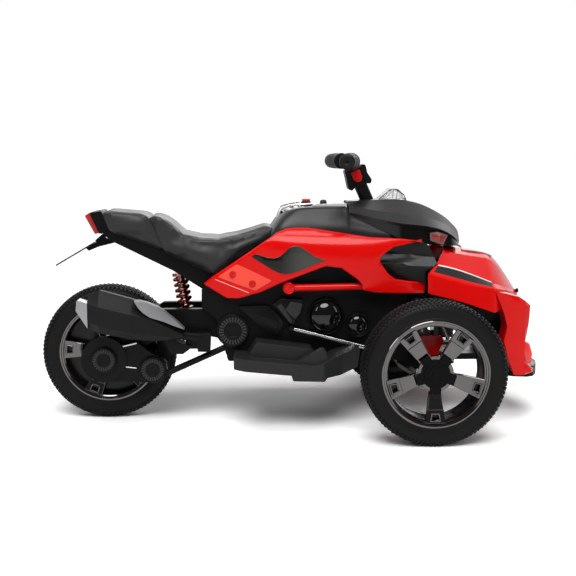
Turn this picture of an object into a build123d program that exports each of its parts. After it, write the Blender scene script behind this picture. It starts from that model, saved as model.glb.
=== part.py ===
from build123d import *
from math import cos, radians, sin, tan
import os

os.makedirs("parts", exist_ok=True)

# A child's battery ride-on trike with two steered front wheels and one driven rear wheel.
# Millimetres. X is forward, Y is to the left, Z is up. The ground is Z = 0, and X = 0 is
# the middle of the overall length. Shapes are named by the right-hand side, which is -Y.

# Driving dimensions: running gear
wheel_radius = 152.5
tyre_width = 76.0
rim_radius = 112.0
front_axle_x = 281.0
wheelbase = 699.5
wheel_track = 588.0
axle_radius = 6.0
running_gap = 0.4

# Driving dimensions: steering
kingpin_inset = 56.0
kingpin_radius = 5.0
knuckle_radius = 13.0
knuckle_height = 50.0
steer_arm = 45.0
column_rake = 24.0
column_top_x = 150.0
column_top_z = 548.0
column_radius = 9.0
sleeve_radius = 15.0
column_foot_z = 240.0
tie_rod_z = 170.0
bar_half_width = 205.0
bar_radius = 9.0
grip_length = 92.0
grip_radius = 15.5
grip_x = 107.0
grip_sweep = 20.0
grip_z = 585.0

# Driving dimensions: body
core_half_width = 92.0
fairing_half_width = 138.0
skin = 5.0
foot_half_width = 205.0
seat_half_width = 92.0
pillion_half_width = 76.0
tail_half_width = 66.0
hood_overhang = 26.0
pod_inset = 14.0

rear_axle_x = front_axle_x - wheelbase
axle_z = wheel_radius
half_track = wheel_track / 2
kingpin_y = half_track - kingpin_inset
hood_half_width = fairing_half_width + hood_overhang


def side_solid(outline, y_from, y_to):
    """Solid whose side view is the outline, rows of (x, z, corner radius)."""
    corners = [(x, z) for x, z, _ in outline]
    radii = [radius for _, _, radius in outline]
    edge = Plane.XZ.offset(-y_from) * FilletPolyline(*corners, radius=radii, close=True)
    return extrude(make_face(edge), amount=y_to - y_from, dir=(0, 1, 0))


def plan_solid(outline, z_from, z_to):
    """Solid whose plan view is the outline, rows of (x, y, corner radius)."""
    corners = [(x, y) for x, y, _ in outline]
    radii = [radius for _, _, radius in outline]
    edge = Plane.XY.offset(z_from) * FilletPolyline(*corners, radius=radii, close=True)
    return extrude(make_face(edge), amount=z_to - z_from, dir=(0, 0, 1))


def cross_solid(outline, x_from, x_to):
    """Solid whose cross-section is the outline, rows of (y, z, corner radius)."""
    corners = [(y, z) for y, z, _ in outline]
    radii = [radius for _, _, radius in outline]
    edge = Plane.YZ.offset(x_from) * FilletPolyline(*corners, radius=radii, close=True)
    return extrude(make_face(edge), amount=x_to - x_from, dir=(1, 0, 0))


def section_loft(sections):
    """Ruled loft through cross-sections, rows of (x, half outline of (y, z) up the right side)."""
    faces = []
    for x, half in sections:
        right = [(x, -y, z) for y, z in half]
        left = [(x, y, z) for y, z in reversed(half)]
        faces.append(make_face(Polyline(*right, *left, close=True)))
    return loft(faces, ruled=True)


def other_side(shape):
    return mirror(shape, about=Plane.XZ)


def both_sides(shape):
    return Compound([shape, other_side(shape)])


def rod(start, end, radius):
    """Round bar from one point to another."""
    line = Vector(end) - Vector(start)
    return extrude(Plane(origin=start, z_dir=line) * Circle(radius), line.length)


def save(shape, node):
    export_step(shape, f"parts/{node}.step")


# Wheels. One design is used three times: a hollow tyre on a dished five-spoke rim.
bead_radius = rim_radius - 6
shoulder = 12.0
tread_step = 14.0
half_tyre = tyre_width / 2
rim_half = half_tyre - 3
barrel_wall = 4.0
barrel_radius = bead_radius - 4
hub_radius = 27.0
hub_half = 21.0
hub_disc_radius = 37.0
spoke_count = 5
spoke_face = rim_half - 8
spoke_depth = 12.0
spoke_root_half = 13.0
spoke_pad_half = 17.5
spoke_tip_half = 22.0
pad_from = 76.0
pad_window = (20.0, 14.0)
web_thickness = 3.0


def tyre_at(x, y):
    half_profile = [
        (bead_radius + 2, half_tyre - 6),
        (wheel_radius - shoulder, half_tyre),
        (wheel_radius, half_tyre - tread_step),
    ]
    outer = half_profile + [(r, -w) for r, w in reversed(half_profile)]
    profile = make_face(Polyline(*[(r, w, 0) for r, w in outer], close=True))
    ring = revolve(profile, Axis.Y)
    return Pos(x, y, axle_z) * ring


def rim_solid(outboard, bore, closed):
    """Rim about the Y axis. outboard is +1 where its dished face looks along +Y; a closed rim has a web."""
    barrel_profile = [
        (bead_radius + 1.6, rim_half - 2.6),
        (rim_radius, rim_half - 1),
        (rim_radius, rim_half + 1),
        (rim_radius - 4, rim_half + 2),
        (barrel_radius - 3, rim_half - 6),
        (barrel_radius - barrel_wall, rim_half - 14),
        (barrel_radius - barrel_wall, -rim_half),
        (rim_radius, -rim_half),
        (bead_radius + 1.6, -rim_half + 2.6),
    ]
    barrel = revolve(make_face(Polyline(*[(r, w, 0) for r, w in barrel_profile], close=True)), Axis.Y)
    hub = extrude(Plane.XZ.offset(hub_half) * Circle(hub_radius), -hub_half - spoke_face)
    hub += extrude(Plane.XZ.offset(-spoke_face) * Circle(hub_disc_radius), spoke_depth)
    wheel = barrel + hub
    reach = barrel_radius - barrel_wall + 1.5
    for turn in range(spoke_count):
        flanks = [
            (hub_radius - 6, -spoke_root_half),
            (hub_disc_radius, -spoke_root_half),
            (pad_from, -spoke_pad_half),
            (reach, -spoke_tip_half),
            (reach, spoke_tip_half),
            (pad_from, spoke_pad_half),
            (hub_disc_radius, spoke_root_half),
            (hub_radius - 6, spoke_root_half),
        ]
        face = make_face(Polyline(*[(r, spoke_face - spoke_depth, t) for r, t in flanks], close=True))
        spoke = extrude(face, amount=spoke_depth, dir=(0, 1, 0))
        window = Box(pad_window[0], 3 * spoke_depth, pad_window[1])
        window = Pos((pad_from + reach) / 2, spoke_face, 0) * window
        spoke = spoke - window
        wheel += Rot(0, 90 + turn * 360 / spoke_count, 0) * spoke
    if closed:
        wheel += extrude(Plane.XZ.offset(hub_half) * Circle(reach), -web_thickness)
    wheel -= extrude(Plane.XZ.offset(tyre_width) * Circle(bore), -2 * tyre_width)
    if outboard < 0:
        wheel = Rot(0, 0, 180) * wheel
    return wheel


fit_gap = 0.1
lobe_root = 30.0
lobe_tip = 42.0
lobe_width = 22.0
lobe_height = 5.0
cap_rings = [(24, 7.5), (17, 10.0)]
cap_boss = 14.0
cap_boss_rise = 2.0


def hub_cap_solid(outboard):
    """Five-lobed cap with stepped rings and a square boss."""
    seat = spoke_face + fit_gap
    base = extrude(Plane.XZ.offset(-seat) * Circle(lobe_root), -lobe_height)
    for turn in range(spoke_count):
        lobe_length = lobe_tip - lobe_root + 12
        lobe = Box(lobe_length, lobe_height, lobe_width)
        lobe = Pos(lobe_tip - lobe_length / 2, seat + lobe_height / 2, 0) * lobe
        base += Rot(0, 90 + turn * 360 / spoke_count, 0) * lobe
    for radius, height in cap_rings:
        base += extrude(Plane.XZ.offset(-seat) * Circle(radius), -height)
    boss_seat = seat + cap_rings[-1][1]
    base += Pos(0, boss_seat + cap_boss_rise / 2, 0) * Box(cap_boss, cap_boss_rise, cap_boss)
    if outboard < 0:
        base = Rot(0, 0, 180) * base
    return base


for side_name, side in [("left", 1), ("right", -1)]:
    here = Pos(front_axle_x, side * half_track, axle_z)
    save(tyre_at(front_axle_x, side * half_track), f"tyre_front_{side_name}")
    save(here * rim_solid(side, axle_radius + running_gap, False), f"rim_front_{side_name}")
    save(here * hub_cap_solid(side), f"hub_cap_front_{side_name}")
save(tyre_at(rear_axle_x, 0), "tyre_rear")
save(Pos(rear_axle_x, 0, axle_z) * rim_solid(-1, axle_radius + running_gap, True), "rim_rear")

# Knuckles. Each is a barrel on the kingpin with a stub axle, a forward steering arm and a
# shield that widens upwards behind the wheel's spokes.
arm_thickness = 7.0
arm_width = 16.0
pin_radius = 4.0
pin_gap = 0.5
pin_rise = 8.0
collar_radius = 10.0
tie_thickness = 5.0
knuckle_low_z = axle_z - knuckle_height / 2
arm_low_z = tie_rod_z - tie_thickness / 2 - pin_gap - arm_thickness
shield_rows = [
    (-12, 148, 3), (12, 148, 3), (14, 182, 4), (27, 214, 5), (20, 223, 5), (-20, 223, 5), (-27, 214, 5),
    (-14, 182, 4),
]
shield_from = 16.0
shield_thickness = 8.0
for side_name, side in [("left", 1), ("right", -1)]:
    pivot = Pos(front_axle_x, side * kingpin_y, 0)
    barrel = pivot * Pos(0, 0, knuckle_low_z) * extrude(Circle(knuckle_radius), knuckle_height)
    stub_from = side * (kingpin_y + knuckle_radius - 5)
    stub_to = side * (half_track + spoke_face - 1)
    stub = rod((front_axle_x, stub_from, axle_z), (front_axle_x, stub_to, axle_z), axle_radius)
    collar_to = side * (half_track - hub_half - 1)
    collar = rod((front_axle_x, stub_from, axle_z), (front_axle_x, collar_to, axle_z), collar_radius)
    arm = Box(steer_arm, arm_width, arm_thickness)
    arm = pivot * Pos(steer_arm / 2, 0, arm_low_z + arm_thickness / 2) * arm
    arm += pivot * Pos(steer_arm, 0, arm_low_z) * extrude(Circle(arm_width / 2), arm_thickness)
    pin_foot = (front_axle_x + steer_arm, side * kingpin_y, arm_low_z)
    pin = rod(pin_foot, (*pin_foot[:2], tie_rod_z + pin_rise), pin_radius)
    shield_edge = [(front_axle_x + x, z, radius) for x, z, radius in shield_rows]
    shield_y = kingpin_y + shield_from
    shield_ends = sorted([side * shield_y, side * (shield_y + shield_thickness)])
    shield = side_solid(shield_edge, *shield_ends)
    knuckle = barrel + collar + stub + arm + pin + shield
    knuckle -= pivot * extrude(Circle(kingpin_radius + running_gap), 2 * axle_z)
    save(knuckle, f"knuckle_{side_name}")

# Tie rod. A flat bar joins the two arm pins, and a tongue carries the slot for the crank pin.
rake = radians(column_rake)


def column_x(z):
    """X of the steering column's axis at height z."""
    return column_top_x + (column_top_z - z) * tan(rake)


tie_x = front_axle_x + steer_arm
crank_x = column_x(tie_rod_z) + steer_arm / cos(rake)
tie_width = 13.0
tie_eye_radius = 9.5
tongue_width = 34.0
crank_pin_radius = 4.0
slot_length = 2 * crank_pin_radius + 7
slot_width = 2 * crank_pin_radius + 2
tie_bar = Pos(tie_x, 0, tie_rod_z) * Box(tie_width, 2 * kingpin_y, tie_thickness)
tongue_to = crank_x + tongue_width / 2 - 3
tie_bar += Pos((tie_x + tongue_to) / 2, 0, tie_rod_z) * Box(tongue_to - tie_x, tongue_width, tie_thickness)
for side in (1, -1):
    eye = Pos(tie_x, side * kingpin_y, tie_rod_z - tie_thickness / 2)
    tie_bar += eye * extrude(Circle(tie_eye_radius), tie_thickness)
    tie_bar -= eye * Pos(0, 0, -1) * extrude(Circle(pin_radius + pin_gap), tie_thickness + 2)
tie_bar -= Pos(crank_x, 0, tie_rod_z) * Box(slot_length, slot_width, 2 * tie_thickness)
save(tie_bar, "tie_rod")

# Steering column: a steel rod with a crank and a bent-down pin at its foot.
crank_radius = 6.0
up_rake = Vector(-sin(rake), 0, cos(rake))
ahead = Vector(cos(rake), 0, sin(rake))
column_foot = Vector(column_x(column_foot_z), 0, column_foot_z)
column_top = Vector(column_top_x, 0, column_top_z) - up_rake * 12
crank_end = column_foot + ahead * steer_arm
pin_run = (column_foot_z - tie_rod_z) / cos(rake) + steer_arm * tan(rake) + 10
crank_pin_foot = crank_end - up_rake * pin_run
column = rod(column_foot - up_rake * 6, column_top, column_radius)
column += rod(column_foot, crank_end, crank_radius)
column += rod(crank_end + up_rake * 6, crank_pin_foot, crank_pin_radius)

# Bar clamp: a block on the column between two cheek plates, with a red plate on each flank.
# Its outlines are rows of (ahead, up, corner radius) in the rake's own directions.


def on_rake(rows):
    """Rows of (ahead, up, radius) about the column's top, turned into rows of (x, z, radius)."""
    return [
        (column_top_x + a * cos(rake) - u * sin(rake), column_top_z + a * sin(rake) + u * cos(rake), radius)
        for a, u, radius in rows
    ]


bar_up = 26.0
bar_x = column_top_x - bar_up * sin(rake)
bar_z = column_top_z + bar_up * cos(rake)
block_half_width = 17.0
cheek_half_width = 22.0
block_outline = on_rake([(-14, -22, 2), (13, -22, 2), (13, 30, 6), (6, 38, 6), (-7, 38, 6), (-14, 30, 6)])
rear_cheek = on_rake([(-30, -14, 4), (-25, -22, 3), (-14, -18, 0), (-14, 27, 3), (-22, 27, 4), (-25, 10, 4)])
front_cheek = on_rake(
    [(13, -20, 0), (22, -24, 4), (27, -16, 5), (24, 2, 4), (27, 20, 4), (20, 25, 4), (13, 20, 0)]
)
clamp = side_solid(block_outline, -block_half_width, block_half_width)
clamp += side_solid(rear_cheek, -cheek_half_width, cheek_half_width)
clamp += side_solid(front_cheek, -cheek_half_width, cheek_half_width)
sleeve_length = 50.0
sleeve_to = column_top - up_rake * 6
clamp += rod(sleeve_to - up_rake * sleeve_length, sleeve_to, sleeve_radius)
insert_outline = on_rake([(-11, 16, 1), (11, 16, 1), (10, -2, 6), (4, -10, 6), (-5, -10, 6), (-11, -2, 6)])
insert_thickness = 3.0
insert_part = side_solid(insert_outline, -block_half_width - insert_thickness, -block_half_width)

grip_inner = bar_half_width - grip_length
bar_straight = 46.0
bar_bend = 30.0
bar_points = [
    (grip_x, -bar_half_width, grip_z),
    (grip_x + grip_sweep, -grip_inner + 4, grip_z),
    (bar_x, -bar_straight, bar_z),
    (bar_x, bar_straight, bar_z),
    (grip_x + grip_sweep, grip_inner - 4, grip_z),
    (grip_x, bar_half_width, grip_z),
]
bar_path = FilletPolyline(*bar_points, radius=[bar_bend] * 4)
bar_profile = Plane(origin=bar_path @ 0, z_dir=bar_path % 0) * Circle(bar_radius)
handlebar = sweep(bar_profile, path=bar_path)
clamp -= handlebar
clamp -= column
grip_end = Vector(*bar_points[0])
grip_run = (Vector(*bar_points[1]) - grip_end).normalized()


def grip_rod(start, length, radius):
    """Part of the grip: start is the distance inwards from the bar's end."""
    return rod(grip_end + grip_run * start, grip_end + grip_run * (start + length), radius)


grip_end_wall = 3.0
flange_radius = grip_radius + 3.5
flange_width = 6.0
end_hole_radius = 4.0
grip = grip_rod(-grip_end_wall, grip_length, grip_radius)
grip += grip_rod(grip_length - flange_width - grip_end_wall, flange_width, flange_radius)
grip -= grip_rod(0, grip_length, bar_radius)
grip -= grip_rod(-grip_end_wall - 1, grip_end_wall + 2, end_hole_radius)
save(column, "steering_column")
save(clamp, "bar_clamp")
save(both_sides(insert_part - handlebar), "clamp_inserts")
save(handlebar, "handlebar")
save(both_sides(grip), "grips")

# Body core: the dark inner shell that every panel is fixed to, bored for the column.
core_outline = [
    (-150, 150, 12), (-172, 236, 10), (-205, 262, 6), (-205, 301, 0), (-172, 335, 0),
    (-60, 410, 0), (170, 410, 0), (255, 392, 6), (255, 222, 6), (200, 206, 10), (185, 150, 12),
]
core = side_solid(core_outline, -core_half_width, core_half_width)
bore_foot = column_foot - up_rake * 40
column_bore = rod(bore_foot, column_top + up_rake * 20, sleeve_radius + 3)
column_bearing = rod(bore_foot, column_top, column_radius + running_gap)
core -= column_bearing
battery_low_z = 156.0
battery_box = (170.0, 104.0, 96.0)
battery_x = 40.0
battery = Pos(battery_x, 0, battery_low_z + battery_box[2] / 2) * Box(*battery_box)
well_height = battery_low_z + battery_box[2] + 1
core -= Pos(battery_x, 0, well_height / 2) * Box(battery_box[0] + 2, battery_box[1] + 2, well_height)
belly_outline = [(-146, 140, 4), (-150, 150, 0), (185, 150, 0), (181, 140, 4)]
belly = side_solid(belly_outline, -core_half_width + 2, core_half_width - 2)
belly += Pos(battery_x, 0, 153) * Box(battery_box[0], battery_box[1], 6)
save(core, "body_core")
save(battery, "battery")
save(belly, "belly_cover")

# Front frame: the beam under the nose that carries the suspension, bumper and pods.
frame_low_z = 134.0
frame_half = 58.0
frame_outline = [
    (185, 150, 0), (200, 206, 0), (255, 222, 0), (255, 262, 0), (272, 262, 4), (272, 148, 4),
    (430, 148, 4), (430, 262, 4), (470, 262, 4), (470, frame_low_z, 6), (326, frame_low_z, 4),
    (322, 116, 4), (242, 116, 4), (238, frame_low_z, 4), (185, 140, 6),
]
front_frame = side_solid(frame_outline, -frame_half, frame_half)
front_frame -= column_bearing
front_frame -= core
save(front_frame, "front_frame")

# Front suspension: upper and lower wishbones with a kingpin, and a sprung leg above.
lower_z = knuckle_low_z - running_gap
upper_z = knuckle_low_z + knuckle_height + running_gap
lug_thickness = 9.0
lug_half = 13.0
leaf_width = 14.0
pin_head = 3.0
leg_top = Vector(front_axle_x - 4, 78, 282)
leg_foot = Vector(front_axle_x - 4, 182, 202)
for side_name, side in [("left", 1), ("right", -1)]:
    wishbone = None
    # Rows of (height of the arm's underside, half spread at the frame)
    for low_z, spread in [(lower_z - lug_thickness, 40), (upper_z, 30)]:
        arm_plan = [
            (front_axle_x - spread, side * frame_half, 0),
            (front_axle_x - lug_half, side * kingpin_y, 0),
            (front_axle_x + lug_half, side * kingpin_y, 0),
            (front_axle_x + spread, side * frame_half, 0),
            (front_axle_x + spread - leaf_width, side * frame_half, 0),
            (front_axle_x, side * (kingpin_y - 34), 3),
            (front_axle_x - spread + leaf_width, side * frame_half, 0),
        ]
        leaf = plan_solid(arm_plan, low_z, low_z + lug_thickness)
        leaf += Pos(front_axle_x, side * kingpin_y, low_z) * extrude(Circle(lug_half), lug_thickness)
        wishbone = leaf if wishbone is None else wishbone + leaf
    kingpin = rod(
        (front_axle_x, side * kingpin_y, lower_z - lug_thickness - pin_head),
        (front_axle_x, side * kingpin_y, upper_z + lug_thickness + pin_head),
        kingpin_radius,
    )
    wishbone += kingpin
    save(wishbone, f"wishbones_{side_name}")

# A coil over its damper, drawn as a ribbed sleeve along a line from its foot to its top.
def coil_leg(foot, top, coil_radius, wire_radius, turns, damper_radius):
    axis = Vector(top) - Vector(foot)
    length = axis.length
    cup = wire_radius * 1.4
    pitch = (length - 2 * cup) / turns
    ribs = []
    for turn in range(turns):
        middle = cup + pitch * (turn + 0.5)
        ribs += [(coil_radius - wire_radius, middle - pitch / 2), (coil_radius, middle)]
    ribs.append((coil_radius - wire_radius, length - cup))
    inner = damper_radius + 0.2
    outline = [(inner, cup)] + ribs + [(inner, length - cup)]
    placing = Plane(origin=foot, z_dir=axis)
    coil = revolve(make_face(Polyline(*[(r, 0, z) for r, z in outline], close=True)), Axis.Z)
    damper = extrude(Circle(damper_radius), length)
    damper += extrude(Circle(coil_radius - 1), cup - 0.2)
    damper += Pos(0, 0, length - cup + 0.2) * extrude(Circle(coil_radius - 1), cup - 0.2)
    return placing.location * coil, placing.location * damper


# Coil radius, wire radius, turns and damper radius
front_leg_sizes = (17.0, 4.5, 5, 9.0)
bracket_half = 14.0
bracket_y = (frame_half - 20, frame_half + 16)
bracket_outline = [
    (leg_top.X - bracket_half, 262, 0), (leg_top.X - bracket_half, 300, 6),
    (leg_top.X + bracket_half, 300, 6), (leg_top.X + bracket_half, 262, 0),
]
front_coils = []
front_dampers = []
for side in (1, -1):
    foot = (leg_foot.X, side * leg_foot.Y, leg_foot.Z)
    top = (leg_top.X, side * leg_top.Y, leg_top.Z)
    coil, damper = coil_leg(foot, top, *front_leg_sizes)
    bracket = side_solid(bracket_outline, side * bracket_y[0], side * bracket_y[1])
    damper += bracket - coil
    eye_low_z = upper_z + lug_thickness
    eye_height = leg_foot.Z - eye_low_z + 1
    eye = Pos(foot[0], foot[1] + side * 2, eye_low_z + eye_height / 2) * Box(16, 14, eye_height)
    damper += eye - coil
    front_coils.append(coil)
    front_dampers.append(damper)
save(Compound(front_coils), "front_springs")
save(Compound(front_dampers), "front_dampers")

# Side fairing: the red flank panel, cut to the body's plan and cross-section. A red tube
# closes the opening below it, from a round boss to the panel's front.
flank_depth = fairing_half_width - core_half_width
flank_out = flank_depth + 28
fairing_outline = [
    (-201, 315, 3), (-149, 285, 6), (-121, 285, 6), (-72, 300, 8), (-27, 321, 6), (-9, 328, 4),
    (68, 357, 8), (103, 353, 10), (146, 322, 6), (146, 296, 0), (290, 294, 2), (293, 318, 2), (232, 326, 12),
    (211, 333, 12), (186, 368, 10), (190, 378, 8), (217, 398, 8), (282, 411, 2), (232, 417, 20),
    (167, 420, 20), (32, 440, 20), (-5, 441, 8), (-38, 431, 4), (-178, 334, 4),
]
# Rows of (x, share of the flank's depth, radius) and (share of the depth, z, radius)
flank_plan_rows = [
    (-206, 0, 0), (-206, 0.13, 0), (-150, 0.48, 40), (-60, 0.78, 60), (60, 0.96, 60), (170, 1, 60),
    (294, 0.48, 0), (294, 0, 0),
]
flank_section_rows = [
    (0, 280, 0), (0.91, 280, 0), (1.6, 322, 20), (1.6, 366, 20), (0.3, 444, 0), (0, 444, 0),
]
flank_plan = []
for x, share, radius in flank_plan_rows:
    flank_plan.append((x, -core_half_width - share * flank_depth, radius))
flank_section = []
for share, z, radius in flank_section_rows:
    flank_section.append((-core_half_width - share * flank_depth, z, radius))
swoosh_outline = [
    (-98, 374, 2), (-82, 384, 2), (-54, 374, 8), (-27, 384, 10), (3, 402, 6), (63, 371, 3),
    (-9, 345, 6), (-37, 344, 8),
]
inset_depth = 9.0
inset_step = 2.0
flank_form = plan_solid(flank_plan, 270, 450) & cross_solid(flank_section, -210, 300)
fairing = side_solid(fairing_outline, -core_half_width - flank_out, -core_half_width) & flank_form
pocket = flank_form & side_solid(swoosh_outline, -core_half_width - flank_out, -core_half_width)
pocket -= Pos(0, inset_depth, 0) * flank_form
inset = pocket & (Pos(0, inset_step, 0) * flank_form)
fairing -= pocket
boss_x = -12.0
boss_z = 308.0
boss_radius = 13.5
tube_radius = 8.0
tube_to_x = 150.0
tube_y = core_half_width + flank_depth * 0.6
tube_to_z = 310.0
boss_face_y = tube_y + 10
boss_dish = 2.0
fairing += rod((boss_x, -tube_y, boss_z), (tube_to_x, -tube_y, tube_to_z), tube_radius)
fairing += rod((boss_x, -core_half_width, boss_z), (boss_x, -boss_face_y, boss_z), boss_radius)
dish = rod((boss_x, -boss_face_y + boss_dish, boss_z), (boss_x, -boss_face_y - 1, boss_z), boss_radius - 4)
fairing -= dish
save(fairing, "side_fairing_right")
save(other_side(fairing), "side_fairing_left")
save(both_sides(inset), "fairing_insets")

# Tank cover: the black hump ahead of the saddle, with a pale console deck let into its top.
tank_outline = [
    (-50, 411, 3), (-38, 450, 10), (-17, 474, 14), (15, 485, 20), (121, 485, 0), (121, 476, 3),
    (218, 451, 10), (214, 411, 3),
]
tank_section = [
    (-104, 400, 0), (-103, 436, 12), (-76, 487, 8), (76, 487, 8), (103, 436, 12), (104, 400, 0),
]
tank = side_solid(tank_outline, -120, 120) & cross_solid(tank_section, -60, 230)
deck_outline = [(-22, -58, 16), (122, -60, 0), (122, 60, 0), (-22, 58, 16)]
deck_floor_z = 470.0
deck_top_z = 478.0
tank -= plan_solid(deck_outline, deck_floor_z, 500)
tank -= column_bore
deck_fit = [(-21.5, -57.5, 16), (121, -59.5, 0), (121, 59.5, 0), (-21.5, 57.5, 16)]
console_top_z = 491.0
deck_rise = [
    (-40, deck_floor_z, 0), (-40, deck_top_z, 0), (28, deck_top_z, 4), (48, console_top_z - 1, 6),
    (121, console_top_z, 0), (121, deck_floor_z, 0),
]
deck = plan_solid(deck_fit, deck_floor_z, console_top_z + 10) & side_solid(deck_rise, -60, 60)
tank -= fairing
tank -= other_side(fairing)
save(tank, "tank_cover")
# Rows of (x, y, radius, z of the seat, height) for the buttons and the knob on the deck
button_rows = [
    (10, -22, 5, deck_top_z, 5), (10, 22, 5, deck_top_z, 5), (30, 0, 9, deck_top_z, 19),
    (72, -6, 7, console_top_z, 6),
]
buttons = []
for x, y, radius, seat_z, height in button_rows:
    buttons.append(Pos(x, y, seat_z - 1) * extrude(Circle(radius), height + 1))
deck -= Compound(buttons)
save(deck, "console_deck")
save(Compound(buttons), "console_buttons")

# Nose cowl. Rows of (x, half outline of (y, z) from the low edge up to the crown)
cowl_sections = [
    (126, [(74, 455), (82, 474), (70, 488), (36, 496)]),
    (178, [(96, 440), (102, 462), (82, 477), (40, 498)]),
    (236, [(108, 414), (112, 449), (86, 469), (40, 500)]),
    (282, [(113, 404), (112, 445), (84, 464), (40, 492)]),
    (323, [(110, 401), (106, 437), (72, 453), (38, 474)]),
    (354, [(96, 397), (94, 423), (58, 440), (32, 455)]),
    (371, [(76, 397), (74, 408), (44, 428), (24, 440)]),
    (382, [(40, 402), (38, 408), (28, 420), (16, 428)]),
]
cowl = section_loft(cowl_sections)
cowl -= column_bore
cowl_foot = side_solid([(300, 386, 0), (300, 405, 0), (360, 405, 0), (360, 386, 0)], -30, 30)
cowl += cowl_foot
cowl = cowl - core - tank - fairing - other_side(fairing)
lens_outline = [(307, 431, 3), (347, 426, 4), (339, 402, 4), (304, 410, 3)]
lens_prism = side_solid(lens_outline, -130, -84)
lens = cowl & lens_prism
cowl = cowl - lens_prism - other_side(lens_prism)
save(lens + other_side(lens), "head_lamps")

# Windscreen: a small clear blade that stands on the cowl.
screen_outline = [(192, 495, 0), (223, 523, 6), (239, 523, 6), (255, 510, 4), (262, 490, 0)]
screen = side_solid(screen_outline, -34, 34)
screen_hollow = [(200, 485, 0), (225, 519, 5), (237, 519, 5), (250, 508, 3), (256, 485, 0)]
screen -= side_solid(screen_hollow, -31, 31)
screen -= cowl
save(screen, "windscreen")

# Front hood. Rows of (x, half outline of (y, z) from the low edge over the chine to the crown)
hood_rows = [
    (290, [(-2, 299), (-4, 343), (-32, 358), (-74, 380), (-126, 388)]),
    (343, [(0, 286), (-6, 327), (-34, 353), (-84, 386), (-136, 393)]),
    (384, [(-2, 274), (-10, 315), (-38, 341), (-92, 381), (-138, 390)]),
    (438, [(-12, 254), (-16, 308), (-42, 319), (-106, 374), (-140, 383)]),
    (472, [(-40, 268), (-42, 304), (-58, 310), (-118, 353), (-142, 361)]),
    (514, [(-112, 278), (-108, 286), (-124, 288), (-140, 290), (-150, 291)]),
]
hood_sections = [(x, [(hood_half_width + inset, z) for inset, z in half]) for x, half in hood_rows]
hood = section_loft(hood_sections)
inner_sections = []
for x, half in hood_sections:
    inner = [(half[0][0] - skin, half[0][1] - 30)]
    inner += [(y - skin, z - skin) for y, z in half[1:]]
    inner_sections.append((x, inner))
hood_core = section_loft(inner_sections)
hood -= hood_core
rear_cut = side_solid(
    [(280, 345, 0), (289, 345, 0), (314, 363, 0), (345, 397, 0), (345, 430, 0), (280, 430, 0)], -200, 200
)
hood -= rear_cut
hood -= cowl
hood = hood - fairing - other_side(fairing)
rear_plane = [(270, 250, 0), (290, 250, 0), (290, 450, 0), (270, 450, 0)]
hood -= side_solid(rear_plane, -hood_half_width - 5, hood_half_width + 5)
save(cowl, "nose_cowl")
save(hood, "front_hood")

# Side scoops: the dark recesses between the fairing's point and the hood.
scoop_outline = [
    (217, 398, 0), (282, 411, 0), (300, 398, 4), (314, 363, 0), (289, 345, 0), (293, 318, 0),
    (232, 326, 0), (211, 333, 0), (186, 368, 0), (190, 378, 0),
]
scoop_mouth = [(222, 392, 4), (276, 388, 4), (284, 350, 4), (238, 336, 6), (202, 366, 6)]
scoop_half_width = fairing_half_width + 14
scoop = side_solid(scoop_outline, -scoop_half_width, -core_half_width)
scoop -= side_solid(scoop_mouth, -scoop_half_width - 1, -scoop_half_width + 16)
scoop = scoop - fairing - cowl - hood
scoop = scoop & side_solid(scoop_outline, -scoop_half_width, -core_half_width)
scoop = scoop.solids().sort_by(SortBy.VOLUME)[-1]
save(both_sides(scoop), "side_scoops")

# Side pods: the red cheeks under the hood, with a lamp on each.
pod_outline = [
    (440, 303, 4), (493, 291, 4), (524, 268, 5), (521, 224, 10), (514, 184, 4), (512, 159, 6),
    (522, 134, 3), (538, 124, 3), (536, 114, 3), (494, 112, 6), (475, 140, 12), (462, 190, 10),
    (469, 224, 12), (452, 276, 6),
]
pod_inner_y = core_half_width
pod_half_width = hood_half_width - pod_inset
pod_plan = [
    (430, -pod_inner_y, 0), (540, -pod_inner_y, 0), (534, -pod_inner_y - 26, 10),
    (486, -pod_half_width + 2, 12), (430, -pod_half_width, 0),
]
pod = side_solid(pod_outline, -pod_half_width - 4, -pod_inner_y) & plan_solid(pod_plan, 100, 320)
pod -= hood
pod -= hood_core
lamp_outline = [(514, 184, 2), (526, 181, 2), (532, 158, 3), (531, 135, 3), (520, 138, 2), (510, 158, 3)]
lamp = side_solid(lamp_outline, -pod_inner_y - 28, -pod_inner_y - 6)
pod -= lamp
pod = pod.solids().sort_by(SortBy.VOLUME)[-1]
save(both_sides(pod), "side_pods")
save(both_sides(lamp), "pod_lamps")

# Bumper: a curved bar across the front, from pod to pod.
bumper_low_z = 98.0
bumper_top_z = 122.0
bumper_plan = [
    (532, -pod_inner_y + 2, 0), (548, -80, 6), (562, -50, 16), (571, -12, 8), (571, 12, 8), (562, 50, 16),
    (548, 80, 6), (532, pod_inner_y - 2, 0), (500, 84, 0), (470, 56, 0), (470, -56, 0), (500, -84, 0),
]
bumper = plan_solid(bumper_plan, bumper_low_z, bumper_top_z)
bumper_post = Box(30, 90, frame_low_z - bumper_low_z)
bumper += Pos(478, 0, (bumper_low_z + frame_low_z) / 2) * bumper_post
bumper -= pod
bumper -= other_side(pod)
bumper -= front_frame
bumper = bumper.solids().sort_by(SortBy.VOLUME)[-1]
save(bumper, "bumper")

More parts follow.
